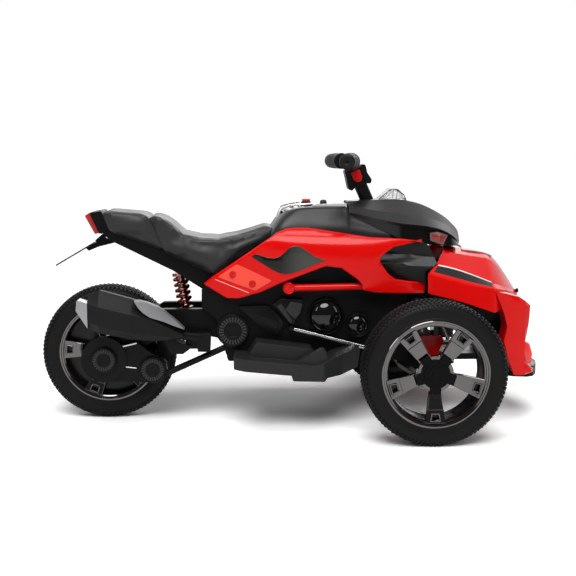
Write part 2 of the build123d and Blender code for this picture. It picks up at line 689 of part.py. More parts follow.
# Grille: a mesh panel between the pods.
grille_low_z = bumper_top_z
grille_top_z = 268.0
grille_x = 500.0
grille_pitch_y = 21.0
grille_pitch_z = 23.0
grille_thickness = 8.0
grille_rows = 6
grille_columns = 8
grille_hole = 16.0
grille_sheet = Box(grille_thickness, 2 * pod_inner_y, grille_top_z - grille_low_z)
grille = Pos(grille_x, 0, (grille_low_z + grille_top_z) / 2) * grille_sheet
for row in range(grille_rows):
    for column_index in range(grille_columns):
        hole_y = (column_index - (grille_columns - 1) / 2) * grille_pitch_y
        hole_z = grille_low_z + grille_hole + row * grille_pitch_z
        grille -= Pos(grille_x, hole_y, hole_z) * Box(20, grille_hole, grille_hole)
grille -= hood
strut_from_x = 470.0
strut_to_x = grille_x - grille_thickness / 2
grille += Pos((strut_from_x + strut_to_x) / 2, 0, 200) * Box(strut_to_x - strut_from_x, 24, 90)
save(grille, "grille")

# Footboards, cut back at the front outer corner for the steered wheel.
foot_outline = [
    (-134, 166, 4), (-134, 140, 4), (-10, 128, 2), (-6, 116, 3), (62, 114, 3), (68, 122, 4),
    (95, 126, 6), (137, 138, 6), (144, 180, 4), (132, 180, 4), (94, 169, 14), (51, 150, 8),
    (37, 148, 8), (-56, 158, 10),
]
foot_plan = [
    (-160, -core_half_width, 0), (-136, -188, 10), (-110, -foot_half_width, 30), (60, -foot_half_width, 20),
    (100, -190, 20), (150, -150, 10), (160, -core_half_width, 0),
]
tread_outline = [(-108, 156, 0), (-84, 194, 6), (36, 178, 6), (44, 168, 0), (44, 146, 0)]
tread_half_width = 160.0
pedal_outline = [
    (0, 140, 0), (1, 154, 2), (18, 164, 6), (56, 183, 3), (64, 181, 3), (71, 158, 3), (52, 140, 0),
]
pedal_y = (-190.0, -164.0)
foot = side_solid(foot_outline, -foot_half_width - 5, -core_half_width) & plan_solid(foot_plan, 100, 210)
foot += side_solid(tread_outline, -tread_half_width, -core_half_width) & plan_solid(foot_plan, 100, 210)
foot += side_solid(pedal_outline, *pedal_y)
foot -= core
save(foot, "footboard_right")
save(other_side(foot), "footboard_left")

# Engine-look covers on each flank, between the fairing and the footboard: a wedge, a V-shaped
# cylinder with its panel, two round covers and a rail along their lower edge.
cover_y = core_half_width
rail_radius = 4.5
rail_y = -cover_y - 17
# Rows of (outline, thickness)
cylinder_edge = [
    (-49, 270, 3), (-29, 284, 3), (21, 280, 3), (13, 250, 3), (-1, 223, 3), (-11, 228, 3), (-35, 258, 3),
]
cover_plates = [
    ([(-123, 265, 3), (-56, 266, 4), (-22, 230, 4), (-35, 204, 6), (-75, 221, 8)], 16),
    (cylinder_edge, 20),
    ([(-20, 258, 2), (-8, 277, 2), (19, 272, 2), (2, 238, 2)], 24),
]
covers = None
for plate_edge, thickness in cover_plates:
    plate_solid = side_solid(plate_edge, -cover_y - thickness, -cover_y)
    covers = plate_solid if covers is None else covers + plate_solid
# Rows of (x, z, radius, height of the collar, height of the dome's middle)
disc_rows = [(72, 242, 40, 12, 26), (143, 222, 26, 16, 22)]
collar_wall = 4.0
disc_faces = []
for x, z, radius, collar_height, dome_height in disc_rows:
    seat = Pos(x, -cover_y, z)
    covers += seat * extrude(Plane.XZ * Circle(radius), collar_height)
    recess = extrude(Plane.XZ * Circle(radius - collar_wall), -collar_wall)
    covers -= seat * Pos(0, -collar_height, 0) * recess
    inner_radius = radius - collar_wall - fit_gap
    floor = collar_height - collar_wall
    dome_rows = [(0, floor), (inner_radius, floor), (inner_radius, collar_height)]
    dome_rows += [(inner_radius * 0.82, dome_height - 4), (inner_radius * 0.5, dome_height - 1)]
    dome_rows.append((0, dome_height))
    dome = revolve(make_face(Polyline(*[(r, -w, 0) for r, w in dome_rows], close=True)), Axis.Y)
    disc_faces.append(seat * dome)
covers += rod((-6, rail_y, 216), (158, rail_y, 173), rail_radius)
covers += rod((-6, rail_y - 3, 216), (-6, -cover_y, 216), rail_radius + 2)
covers += rod((152, rail_y, 174.6), (152, -cover_y, 174.6), rail_radius)
covers = covers - fairing - foot
save(both_sides(covers), "engine_covers")
save(Compound(disc_faces + [other_side(face) for face in disc_faces]), "engine_discs")

# Saddle and pillion pads.
saddle_outline = [
    (-323, 462, 4), (-308, 468, 6), (-291, 461, 10), (-268, 444, 20), (-246, 422, 20), (-205, 413, 30),
    (-165, 412, 30), (-126, 419, 40), (-88, 430, 40), (-42, 446, 6), (-51, 417.5, 3), (-172, 335.5, 0),
    (-178, 336.4, 0), (-286, 388.5, 4),
]
saddle_right = [
    (-330, -72, 10), (-292, -82, 20), (-230, -seat_half_width, 40), (-150, -seat_half_width, 40),
    (-40, -74, 10),
]
saddle_plan = saddle_right + [(x, -y, radius) for x, y, radius in reversed(saddle_right)]
saddle = side_solid(saddle_outline, -110, 110) & plan_solid(saddle_plan, 300, 500)
saddle = saddle - core - tank
pillion_outline = [
    (-426, 474, 5), (-327, 465, 4), (-324, 460, 0), (-287, 388.9, 3), (-408, 431.5, 4),
]
pillion_right = [(-430, -56, 12), (-400, -pillion_half_width, 30), (-280, -pillion_half_width - 4, 5)]
pillion_plan = pillion_right + [(x, -y, radius) for x, y, radius in reversed(pillion_right)]
pillion = side_solid(pillion_outline, -110, 110) & plan_solid(pillion_plan, 300, 500)
pillion -= saddle

# Tail frame: the beam under the seat that ends in a cap with a lamp.
tail_outline = [
    (-205, 301, 0), (-268, 341, 4), (-401, 406, 4), (-428, 424, 2), (-408, 431, 0), (-286, 388, 0),
    (-178, 336, 0), (-172, 335, 0),
]
tail_right = [(-435, -46, 10), (-400, -58, 20), (-170, -tail_half_width, 0)]
tail_plan = tail_right + [(x, -y, radius) for x, y, radius in reversed(tail_right)]
tail = side_solid(tail_outline, -90, 90) & plan_solid(tail_plan, 290, 450)
cap_outline = [(-455, 471, 3), (-428, 475, 3), (-409, 432, 0), (-428, 424, 2), (-434, 425, 3)]
tail_cap = side_solid(cap_outline, -52, 52)
tail_cap -= pillion
tail_cap -= tail
light_outline = [(-466, 464, 2), (-455, 471, 0), (-434, 425, 0), (-444, 423, 2)]
tail_light = side_solid(light_outline, -44, 44)
save(saddle, "saddle")
save(pillion, "pillion")
save(tail, "tail_frame")
save(tail_cap, "tail_cap")
save(tail_light, "tail_light")

# Plate carrier: an arm under the tail with a bare plate on its end.
plate_x = -450.0
plate_z = 403.0
plate_tilt = radians(30.4)
plate_thickness = 3.0


def on_plate(along, above):
    """(x, z) of a point along the plate from its front edge, and above its face."""
    return (
        plate_x - along * cos(plate_tilt) - above * sin(plate_tilt),
        plate_z - along * sin(plate_tilt) + above * cos(plate_tilt),
    )


arm_tip = [(*on_plate(24, -plate_thickness), 0), (*on_plate(22, -plate_thickness - 8), 3)]
arm_lip = [(*on_plate(-3, 2), 1), (*on_plate(-3, -plate_thickness), 0)]
arm_outline = [(-395, 403, 0), (-425, 411, 0), (-428, 424, 0)] + arm_lip + arm_tip + [(-440, 392, 6)]
plate_arm = side_solid(arm_outline, -9, 9)
plate_arm -= tail
plate_arm -= tail_cap
plate_length = 93.0
plate_half_width = 62.0
plate_hole_radius = 2.5
plate_hole_y = 40.0
plate_hole_in = 18.0
plate_plane = Plane(
    origin=(plate_x, 0, plate_z),
    x_dir=(-cos(plate_tilt), 0, -sin(plate_tilt)),
    z_dir=(-sin(plate_tilt), 0, cos(plate_tilt)),
)
plate_blank = Box(plate_length, 2 * plate_half_width, plate_thickness)
plate_blank = Pos(plate_length / 2, 0, -plate_thickness / 2) * plate_blank
for hole_y in (-plate_hole_y, plate_hole_y):
    plate_blank -= Pos(plate_hole_in, hole_y, -10) * extrude(Circle(plate_hole_radius), 20)
plate = plate_plane.location * plate_blank
plate_arm -= plate
plate_arm = plate_arm.solids().sort_by(SortBy.VOLUME)[-1]
save(plate_arm, "plate_arm")
save(plate, "plate")

# Swing arm: a fork from the pivot tube to the rear axle, with a bridge for the spring.
fork_y = 52.0
fork_width = 22.0
pivot_x = -136.0
pivot_z = 210.0
fork_length = pivot_x - rear_axle_x
# Rows of (share of the length from the pivot to the axle, z, corner radius)
fork_rows = [
    (-0.014, 196, 8), (0.035, 236, 8), (0.244, 256, 10), (0.58, 256, 20), (0.864, 196, 20), (1.076, 166, 12),
    (1.076, 138, 12), (0.935, 136, 12), (0.687, 176, 30), (0.368, 206, 30), (0.085, 188, 8),
]
bridge_rows = [(0.4035, 214, 4), (0.4035, 244, 4), (0.269, 244, 4), (0.269, 214, 4)]
fork_outline = [(pivot_x - share * fork_length, z, radius) for share, z, radius in fork_rows]
bridge_outline = [(pivot_x - share * fork_length, z, radius) for share, z, radius in bridge_rows]
fork_arm = side_solid(fork_outline, -fork_y - fork_width, -fork_y)
swing_arm = fork_arm + other_side(fork_arm)
swing_arm += side_solid(bridge_outline, -fork_y, fork_y)
swing_arm -= core
axle_half = fork_y + fork_width + 6
rear_axle = rod((rear_axle_x, -axle_half, axle_z), (rear_axle_x, axle_half, axle_z), axle_radius)
swing_arm += rear_axle
save(swing_arm, "swing_arm")

# Rear spring leg, between the tail frame and the fork's bridge.
rear_foot = (pivot_x - 0.382 * fork_length, 0, 244.2)
rear_top = (-259, 0, 331)
# Coil radius, wire radius, turns and damper radius
rear_leg_sizes = (18.5, 5.0, 5, 9.0)
rear_coil, rear_damper = coil_leg(rear_foot, rear_top, *rear_leg_sizes)
rear_damper = rear_damper - tail - swing_arm
rear_coil -= tail
save(rear_coil, "rear_spring")
save(rear_damper, "rear_damper")

# Drive case on the right of the rear wheel: a round housing over the axle and an arm to the
# gear cover, with a brace from the arm to the body. The pivot of the swing arm has covers too.
case_y = -fork_y - fork_width
case_depth = 18.0
housing_x = rear_axle_x - 4.5
housing_z = axle_z - 6.5
housing_radius = 51.0
gear_x = rear_axle_x + 103.5
gear_z = 123.0
case_outline = [
    (-11.5, 110, 0), (26.5, 178, 10), (68.5, 184, 6), (100.5, 160, 10), (132.5, 144, 14), (136.5, 108, 14),
    (106.5, 92, 14), (58.5, 96, 10), (-4.5, 95, 0),
]
case = Pos(rear_axle_x, 0, 0) * side_solid(case_outline, case_y - case_depth, case_y)
case += rod((housing_x, case_y, housing_z), (housing_x, case_y - case_depth - 4, housing_z), housing_radius)
case -= rear_axle
brace_y = case_y - case_depth / 2
brace_radius = 7.0
case += rod((gear_x + 30, brace_y, 112), (-150, brace_y, 172), brace_radius) - core
save(case, "drive_case")
# Rows of (x, z, radius, Y of the seat) for the round covers
cover_rows = [
    (housing_x, housing_z, 29, case_y - case_depth - 4),
    (gear_x, gear_z, 30, case_y - case_depth),
    (pivot_x, pivot_z, 37, -core_half_width),
]
round_covers = []
cover_base = 7.0
cover_height = 10.0
cover_groove_depth = 2.5
for x, z, radius, seat_y in cover_rows:
    seat = Pos(x, seat_y, z)
    cover = seat * extrude(Plane.XZ * Circle(radius), cover_base)
    cover += seat * extrude(Plane.XZ * Circle(radius - 2), cover_height)
    groove = extrude(Plane.XZ * Circle(radius - 5), cover_height)
    groove -= extrude(Plane.XZ * Circle(radius * 0.52), cover_height)
    cover -= seat * Pos(0, cover_groove_depth - cover_height, 0) * groove
    round_covers.append(cover)
left_pivot_cover = other_side(round_covers[2])
save(Compound(round_covers + [left_pivot_cover]), "round_covers")

# Muffler on the right. Its X values count from the rear axle.
# Rows of (x, z low, z crease, z top, half depth)
muffler_y = -118.0
muffler_rows = [
    (-33.5, 222, 279, 292, 22), (-8.5, 212, 272, 306, 34), (62.5, 198, 255, 286, 38),
    (106.5, 194, 244, 262, 30), (174.5, 196, 206, 214, 14),
]
muffler_faces = []
for x, low, crease, top, half in muffler_rows:
    ring = [
        (x, muffler_y - half * 0.5, low), (x, muffler_y - half, low + (crease - low) * 0.3),
        (x, muffler_y - half, crease), (x, muffler_y - half * 0.2, top),
        (x, muffler_y + half * 0.8, top - 3),
        (x, muffler_y + half, crease), (x, muffler_y + half, low + (crease - low) * 0.3),
        (x, muffler_y + half * 0.5, low),
    ]
    muffler_faces.append(make_face(Polyline(*ring, close=True)))
muffler_at = Pos(rear_axle_x, 0, 0)
muffler = muffler_at * loft(muffler_faces, ruled=True)
tip_outline = [(-56.5, 286, 3), (-33.5, 279, 0), (-33.5, 223, 0), (-58.5, 262, 6)]
tip = muffler_at * side_solid(tip_outline, muffler_y - 20, muffler_y + 20)
tip_mouth = [(-71.5, 282, 0), (-39.5, 275, 0), (-39.5, 240, 0), (-71.5, 262, 0)]
tip -= muffler_at * side_solid(tip_mouth, muffler_y - 14, muffler_y + 14)
shield_outline = [(67.5, 284, 2), (93.5, 276, 3), (142.5, 248, 3), (178.5, 212, 3), (109.5, 240, 4)]
shield = muffler_at * side_solid(shield_outline, muffler_y - 44, muffler_y - 8)
shield -= muffler
shield = shield.solids().sort_by(SortBy.VOLUME)[-1]
pipe_y = muffler_y + 14
pipe_from_x = rear_axle_x + 172.5
pipe = rod((pipe_from_x, muffler_y, 203), (-200, pipe_y, 196), 10)
# Rows of (outline, depth outwards from the pipe) for the box, the connector and its bridge
pipe_blocks = [
    ([(-217, 206, 2), (-184, 208, 2), (-186, 165, 2), (-214, 166, 2)], 10),
    ([(-292, 200, 2), (-224, 178, 2), (-246, 162, 3), (-272, 162, 3)], 16),
    ([(-240, 190, 0), (-214, 190, 0), (-214, 172, 0), (-240, 172, 0)], 6),
]
for block_outline_rows, depth in pipe_blocks:
    pipe += side_solid(block_outline_rows, pipe_y - depth, case_y)
pipe = pipe - muffler - swing_arm - shield
save(muffler, "muffler")
save(tip, "muffler_tip")
save(shield, "muffler_shield")
save(pipe.solids().sort_by(SortBy.VOLUME)[-1], "exhaust_pipe")
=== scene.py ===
import bpy
import bmesh
from math import cos, degrees, exp, hypot, log, pi, radians, sin
from mathutils import Matrix, Vector


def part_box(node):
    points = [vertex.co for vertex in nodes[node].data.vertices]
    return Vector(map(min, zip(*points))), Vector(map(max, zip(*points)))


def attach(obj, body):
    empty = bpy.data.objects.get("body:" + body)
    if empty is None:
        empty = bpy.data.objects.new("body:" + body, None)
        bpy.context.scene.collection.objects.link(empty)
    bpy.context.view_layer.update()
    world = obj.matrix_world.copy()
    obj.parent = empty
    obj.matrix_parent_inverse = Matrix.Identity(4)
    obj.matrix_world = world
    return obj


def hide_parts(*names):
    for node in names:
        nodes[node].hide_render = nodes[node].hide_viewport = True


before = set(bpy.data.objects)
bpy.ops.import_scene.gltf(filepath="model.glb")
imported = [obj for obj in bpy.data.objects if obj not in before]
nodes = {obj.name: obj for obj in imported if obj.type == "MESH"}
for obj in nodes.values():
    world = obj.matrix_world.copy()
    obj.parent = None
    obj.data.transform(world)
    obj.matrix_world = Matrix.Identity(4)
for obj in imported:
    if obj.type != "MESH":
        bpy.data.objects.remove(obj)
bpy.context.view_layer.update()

# Camera. It stands at the trike's right side, a little above the handlebar, and looks
# slightly down, as the photograph was taken with a long lens.


def put(name, data):
    """Object with this data, linked into the scene."""
    obj = bpy.data.objects.new(name, data)
    bpy.context.scene.collection.objects.link(obj)
    return obj


camera_data = bpy.data.cameras.new("camera")
camera_data.sensor_width = 36.0
camera_data.lens = 68.94
camera = put("camera", camera_data)
camera.location = (-0.1188, -2.5315, 0.5997)
camera.rotation_euler = (radians(83.112), 0.0, radians(-2.494))
bpy.context.scene.camera = camera

# Studio. A plain white floor under a white surround, lit by a broad high key light behind the
# camera and a weaker low one from the far side, with a soft box overhead and one at each end. The
# room behind the camera is darker, so that gloss and chrome have something to mirror.


def mesh_of(name, shape):
    """Mesh data from a shape, which is freed."""
    data = bpy.data.meshes.new(name)
    shape.to_mesh(data)
    shape.free()
    return data


floor_mesh = bmesh.new()
bmesh.ops.create_grid(floor_mesh, x_segments=1, y_segments=1, size=60.0)
floor_data = mesh_of("floor", floor_mesh)
floor = put("floor", floor_data)


def add_node(tree, kind, inputs=(), **settings):
    """Shader node with its settings; inputs are pairs of (input, value or socket to link)."""
    made = tree.nodes.new("ShaderNode" + kind)
    for setting, value in settings.items():
        setattr(made, setting, value)
    for place, value in inputs:
        if isinstance(value, bpy.types.NodeSocket):
            tree.links.new(value, made.inputs[place])
        else:
            made.inputs[place].default_value = value
    return made


floor_white_lit = 0.94
floor_white_seen = 1.42
floor_paint = bpy.data.materials.new("studio_floor")
floor_paint.use_nodes = True
floor_tree = floor_paint.node_tree
floor_shader = floor_tree.nodes["Principled BSDF"]
floor_shader.inputs["Base Color"].default_value = (*[floor_white_lit] * 3, 1)
floor_shader.inputs["Roughness"].default_value = 0.9
floor_shader.inputs["Specular IOR Level"].default_value = 0.05
floor_path = add_node(floor_tree, "LightPath")
floor_white = add_node(floor_tree, "BsdfDiffuse", [("Color", (*[floor_white_seen] * 3, 1))])
floor_mix = add_node(floor_tree, "MixShader", [
    (0, floor_path.outputs["Is Camera Ray"]), (1, floor_shader.outputs[0]), (2, floor_white.outputs[0]),
])
floor_tree.links.new(floor_mix.outputs[0], floor_tree.nodes["Material Output"].inputs["Surface"])
floor_data.materials.append(floor_paint)

ambient_level = 0.15
room_level = 0.08
room_from = -0.25
room_to = 0.35
world = bpy.data.worlds.new("surround")
bpy.context.scene.world = world
world.use_nodes = True
sky_tree = world.node_tree
sky = sky_tree.nodes["Background"]
sky.inputs["Color"].default_value = (1, 1, 1, 1)
path = add_node(sky_tree, "LightPath").outputs
seen = add_node(
    sky_tree, "Math", [(0, path["Is Glossy Ray"]), (1, path["Is Transmission Ray"])], operation="MAXIMUM"
).outputs[0]
heading = add_node(sky_tree, "TexCoord").outputs["Generated"]
compass = add_node(sky_tree, "SeparateXYZ", [(0, heading)]).outputs["Y"]
behind = add_node(sky_tree, "MapRange", [
    ("Value", compass), ("From Min", room_from), ("From Max", room_to), ("To Min", room_level),
    ("To Max", 1.0),
], interpolation_type="SMOOTHSTEP").outputs[0]
mirrored = add_node(
    sky_tree, "Mix", [(0, seen), (2, ambient_level), (3, behind)], data_type="FLOAT"
).outputs[0]
direct = add_node(
    sky_tree, "Mix", [(0, path["Is Camera Ray"]), (2, mirrored), (3, 1.0)], data_type="FLOAT"
).outputs[0]
sky_tree.links.new(direct, sky.inputs["Strength"])


def lamp(name, kind, strength, place, heading_to):
    """Lamp at a place that shines along a direction."""
    data = bpy.data.lights.new(name, kind)
    data.energy = strength
    holder = put(name, data)
    holder.location = place
    holder.rotation_euler = Vector(heading_to).to_track_quat("-Z", "Y").to_euler()
    return data


# Rows of (name, place, target, width, height, watts)
for name, place, target, width, height, watts in [
    ("overhead_box", (0.0, -0.6, 2.2), (0.0, 0.0, 0.2), 2.2, 0.35, 16.0),
    ("front_box", (1.9, -1.6, 1.3), (0.1, 0.0, 0.3), 0.3, 1.4, 4.0),
    ("rear_box", (-1.7, -1.7, 1.5), (-0.1, 0.0, 0.3), 0.35, 0.8, 4.0),
]:
    box = lamp(name, "AREA", watts, place, Vector(target) - Vector(place))
    box.shape = "RECTANGLE"
    box.size = width
    box.size_y = height
# Rows of (name, strength, spread in degrees, direction)
for name, strength, spread, heading_to in [
    ("key", 2.15, 34, (0.10, 0.66, -0.75)),
    ("back_fill", 0.7, 40, (-0.2, -0.85, -0.42)),
]:
    lamp(name, "SUN", strength, (0, 0, 0), heading_to).angle = radians(spread)
bpy.context.scene.view_settings.view_transform = "Standard"

# Tyres. Hollow blow-moulded rubber-like plastic, pressed over the rims. The sidewalls are
# plain with fine ribs at the shoulder, and the crown carries rows of small blocks.
mm = 0.001


def coloured(paint, colour, variation, patch_size):
    """Mottle a paint's base colour a little: patches of the given size in millimetres."""
    tree = paint.node_tree
    spot = add_node(tree, "TexCoord").outputs["Object"]
    cloud = add_node(
        tree, "TexNoise", [("Vector", spot), ("Scale", 1 / (patch_size * mm)), ("Detail", 3.0)],
    )
    blend = add_node(tree, "Mix", [
        (0, cloud.outputs["Fac"]), (6, (*[c * (1 - variation) for c in colour], 1)),
        (7, (*[min(1, c * (1 + variation)) for c in colour], 1)),
    ], data_type="RGBA")
    tree.links.new(blend.outputs[2], tree.nodes["Principled BSDF"].inputs["Base Color"])
    return cloud.outputs["Fac"]


def moulded(
    name, colour, roughness, level=0.4, metallic=0.0, variation=0.1, grain=0.4, depth=0.02, edge=0.8,
):
    """Moulded finish. grain is the size of its texture and edge the rounding of corners, in
    millimetres."""
    paint = bpy.data.materials.new(name)
    paint.use_nodes = True
    tree = paint.node_tree
    shader = tree.nodes["Principled BSDF"]
    shader.inputs["Metallic"].default_value = metallic
    shader.inputs["Specular IOR Level"].default_value = level
    cloud = coloured(paint, colour, variation, 45.0)
    sheen = add_node(tree, "MapRange", [
        ("Value", cloud), ("From Min", 0.3), ("From Max", 0.7),
        ("To Min", roughness * 0.85), ("To Max", roughness * 1.15),
    ])
    tree.links.new(sheen.outputs[0], shader.inputs["Roughness"])
    spot = add_node(tree, "TexCoord").outputs["Object"]
    specks = add_node(tree, "TexNoise", [("Vector", spot), ("Scale", 1 / (grain * mm)), ("Detail", 2.0)])
    bump = add_node(tree, "Bump", [
        ("Height", specks.outputs["Fac"]), ("Strength", 0.5), ("Distance", depth * mm),
    ])
    if edge:
        corner = add_node(tree, "Bevel", [("Radius", edge * mm)], samples=4)
        tree.links.new(corner.outputs[0], bump.inputs["Normal"])
    tree.links.new(bump.outputs[0], shader.inputs["Normal"])
    return paint


def piece(name, shape, paints, node=None, body="chassis", sharp=38.0):
    """Finished piece from a shape in millimetres. Edges over the sharp angle stay crisp. It may
    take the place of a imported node."""
    bmesh.ops.scale(shape, vec=(mm, mm, mm), verts=shape.verts)
    shape.normal_update()
    fold = shape.edges.layers.float.get("crease_edge")
    for face in shape.faces:
        face.smooth = True
    for edge in shape.edges:
        edge.smooth = len(edge.link_faces) == 2 and degrees(edge.calc_face_angle(pi)) < sharp
        if fold and edge[fold] >= 0.85:
            edge.smooth = False
    obj = put(name, mesh_of(name, shape))
    for paint in paints:
        obj.data.materials.append(paint)
    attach(obj, body)
    if node:
        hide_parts(node)
    return obj


def shift(shape, vec, verts=None):
    """Move the corners, or all of them."""
    bmesh.ops.translate(shape, vec=vec, verts=shape.verts if verts is None else verts)


def swing(shape, matrix, verts=None):
    """Turn about the origin."""
    bmesh.ops.rotate(shape, cent=(0, 0, 0), matrix=matrix, verts=shape.verts if verts is None else verts)


def face_out(shape):
    """Turn every face outwards."""
    bmesh.ops.recalc_face_normals(shape, faces=shape.faces)


def outwards(shape):
    """Merge what a spin or mirror left double, and turn every face outwards."""
    bmesh.ops.remove_doubles(shape, verts=shape.verts, dist=0.001)
    face_out(shape)


def block(shape, size):
    """Box of the given size at the origin; gives its corners."""
    made = bmesh.ops.create_cube(shape, size=1.0)["verts"]
    bmesh.ops.scale(shape, vec=size, verts=made)
    return made


def ring_of(shape, profile, steps, closed=True):
    """Turn a profile, rows of (radius, y), about the Y axis through the origin."""
    corners = [shape.verts.new((0, y, radius)) for radius, y in profile]
    edges = [shape.edges.new(pair) for pair in zip(corners, corners[1:])]
    if closed:
        edges.append(shape.edges.new((corners[-1], corners[0])))
    bmesh.ops.spin(
        shape, geom=corners + edges, cent=(0, 0, 0), axis=(0, 1, 0), dvec=(0, 0, 0),
        angle=2 * pi, steps=steps, use_merge=True, use_duplicate=False,
    )


def linked(corners):
    """Faces and edges at these corners."""
    faces = {face for corner in corners for face in corner.link_faces}
    return [*faces, *{edge for corner in corners for edge in corner.link_edges}]


def around(shape, geom, count):
    """Repeat a part of the shape evenly about the Y axis."""
    bmesh.ops.spin(
        shape, geom=geom, cent=(0, 0, 0), axis=(0, 1, 0), dvec=(0, 0, 0),
        angle=2 * pi * (count - 1) / count, steps=count - 1, use_merge=False, use_duplicate=True,
    )


rubber = moulded(
    "tyre_rubber", (0.0035, 0.0035, 0.0036), 0.5, level=0.2, variation=0.25, grain=0.5, depth=0.05,
    edge=0.0,
)
wheel_radius = 152.5
tyre_profile = [
    (107, 33), (111, 35.6), (116, 36.4), (117, 35.8), (123, 37.4), (133, 37.4), (139, 36.4),
    (143, 34.2), (146.4, 29.5), (148.5, 22), (149.3, 11), (149.5, 0),
]
block_count = 96
block_taper = (0.72, 0.8)
# Rows of (radius of the foot, y, lean in degrees, length around, width across, height, turn
# in pitches) of the crown's blocks, and such a row of the shoulder's ribs
block_rows = [
    (144.6, 31.4, 52, 5.8, 7.0, 3.6, 0.0),
    (148.0, 22.0, 22, 5.4, 8.0, 3.2, 0.5),
    (149.1, 11.5, 6, 5.6, 8.0, 2.8, 0.0),
    (149.3, 0.0, 0, 5.2, 8.6, 2.7, 0.5),
]
rib_row = (140.6, 35.4, 74, 2.6, 5.0, 1.1, 0.0)
rib_count = 144


def tread_block(shape, row, side, count):
    """One block of a row on one side, repeated around the tyre."""
    radius, y, lean, length, width, height, turn = row
    made = block(shape, (length, width, height * 2))
    for corner in made:
        if corner.co.z > 0:
            corner.co.x *= block_taper[0]
            corner.co.y *= block_taper[1]
    swing(shape, Matrix.Rotation(radians(-side * lean), 3, "X"), made)
    shift(shape, (0, side * y, radius), made)
    swing(shape, Matrix.Rotation(turn * 2 * pi / count, 3, "Y"), made)
    around(shape, made + linked(made), count)


def tyre(place, body, node):
    """Carcass with its blocks and ribs, at its wheel."""
    shape = bmesh.new()
    half = tyre_profile + [(radius, -y) for radius, y in reversed(tyre_profile[:-1])]
    ring_of(shape, half, 144)
    outwards(shape)
    for row in [*block_rows, rib_row]:
        for side in (1, -1) if row[1] else (1,):
            tread_block(shape, row, side, rib_count if row is rib_row else block_count)
    face_out(shape)
    shift(shape, place)
    piece(f"tread_{node}", shape, [rubber], node, body, sharp=30.0)


front_x = 281.0
rear_x = front_x - 699.5
track_half = 294.0
# Rows of (name, place, side of the spokes, turn of the spokes in degrees, closed by a disc)
wheels = [
    ("front_left", (front_x, track_half, wheel_radius), 1, 180, False),
    ("front_right", (front_x, -track_half, wheel_radius), -1, 180, False),
    ("rear", (rear_x, 0, wheel_radius), -1, 158, True),
]
for name, place, outboard, turn, closed in wheels:
    tyre(place, f"wheel_{name}", f"tyre_{name}")

# Rims. Injection-moulded plastic in smoked vacuum chrome, one piece each, with a stepped lip,
# a black barrel and five flat spokes that end in recessed pads with a framed window.
smoked = moulded(
    "smoked_chrome", (0.17, 0.165, 0.16), 0.08, metallic=1.0, variation=0.08, grain=2.0, depth=0.01,
    edge=0.0,
)
barrel_black = moulded("barrel_black", (0.006, 0.006, 0.006), 0.22, level=0.3, edge=0.0)
hub_black = moulded("hub_black", (0.0025, 0.0025, 0.0025), 0.34, level=0.1, edge=1.0)
lip_profile = [
    (107.6, 32.4), (112, 34), (112.4, 35.6), (111, 36.6), (108.4, 36.4), (107.4, 34.6),
    (104.2, 34.0), (103.4, 31.6), (101.0, 30.6), (99.4, 27.0), (98, 21), (98, -34), (112, -35),
    (107.6, -32.4),
]
lip_from_y = 26.0
# Rows of (radius, half width) along a spoke
spoke_rows = [(30, 13.5), (41, 13.5), (75, 17.6), (78, 18.0), (84, 18.8), (95, 20.0), (101.5, 21.0)]
spoke_front = 22.6
spoke_back = 12.0
spoke_rise = 12.6
pad_sunk = 1.8
spoke_count = 5
window_half = (6.4, 8.2)
window_from = 84
window_to = 95
window_radius = 89.8
window_lift = 0.765
# Window frame: bars across as (radius, half width); the side bars' lean is in degrees
frame_bars = [(82.5, 7.9), (97.0, 9.9)]
bar_width = 2.2
bar_height = 2.4
bar_proud = 1.0
side_bar_length = 15.4
side_bar_x = 8.8
side_bar_lean = 7.5
backing_size = (19, 1.6, 14)
backing_lift = 5.5
crisp_angle = 30
dish_from = 30
dish_run = 71.5


def rounded(shape, geom, offset, segments, affect="EDGES"):
    """Round edges, or the corners of a flat face."""
    bmesh.ops.bevel(
        shape, geom=geom, offset=offset, offset_type="OFFSET", segments=segments, profile=0.5,
        affect=affect, material=-1, clamp_overlap=True,
    )


def thicken(shape, faces, by):
    """Pull faces out into a wall."""
    grown = bmesh.ops.extrude_face_region(shape, geom=faces)["geom"]
    shift(shape, by, [g for g in grown if isinstance(g, bmesh.types.BMVert)])


def dish(radius):
    """Rise of the spokes from the hub towards the lip."""
    return spoke_rise * (max(radius - dish_from, 0) / dish_run) ** 1.5


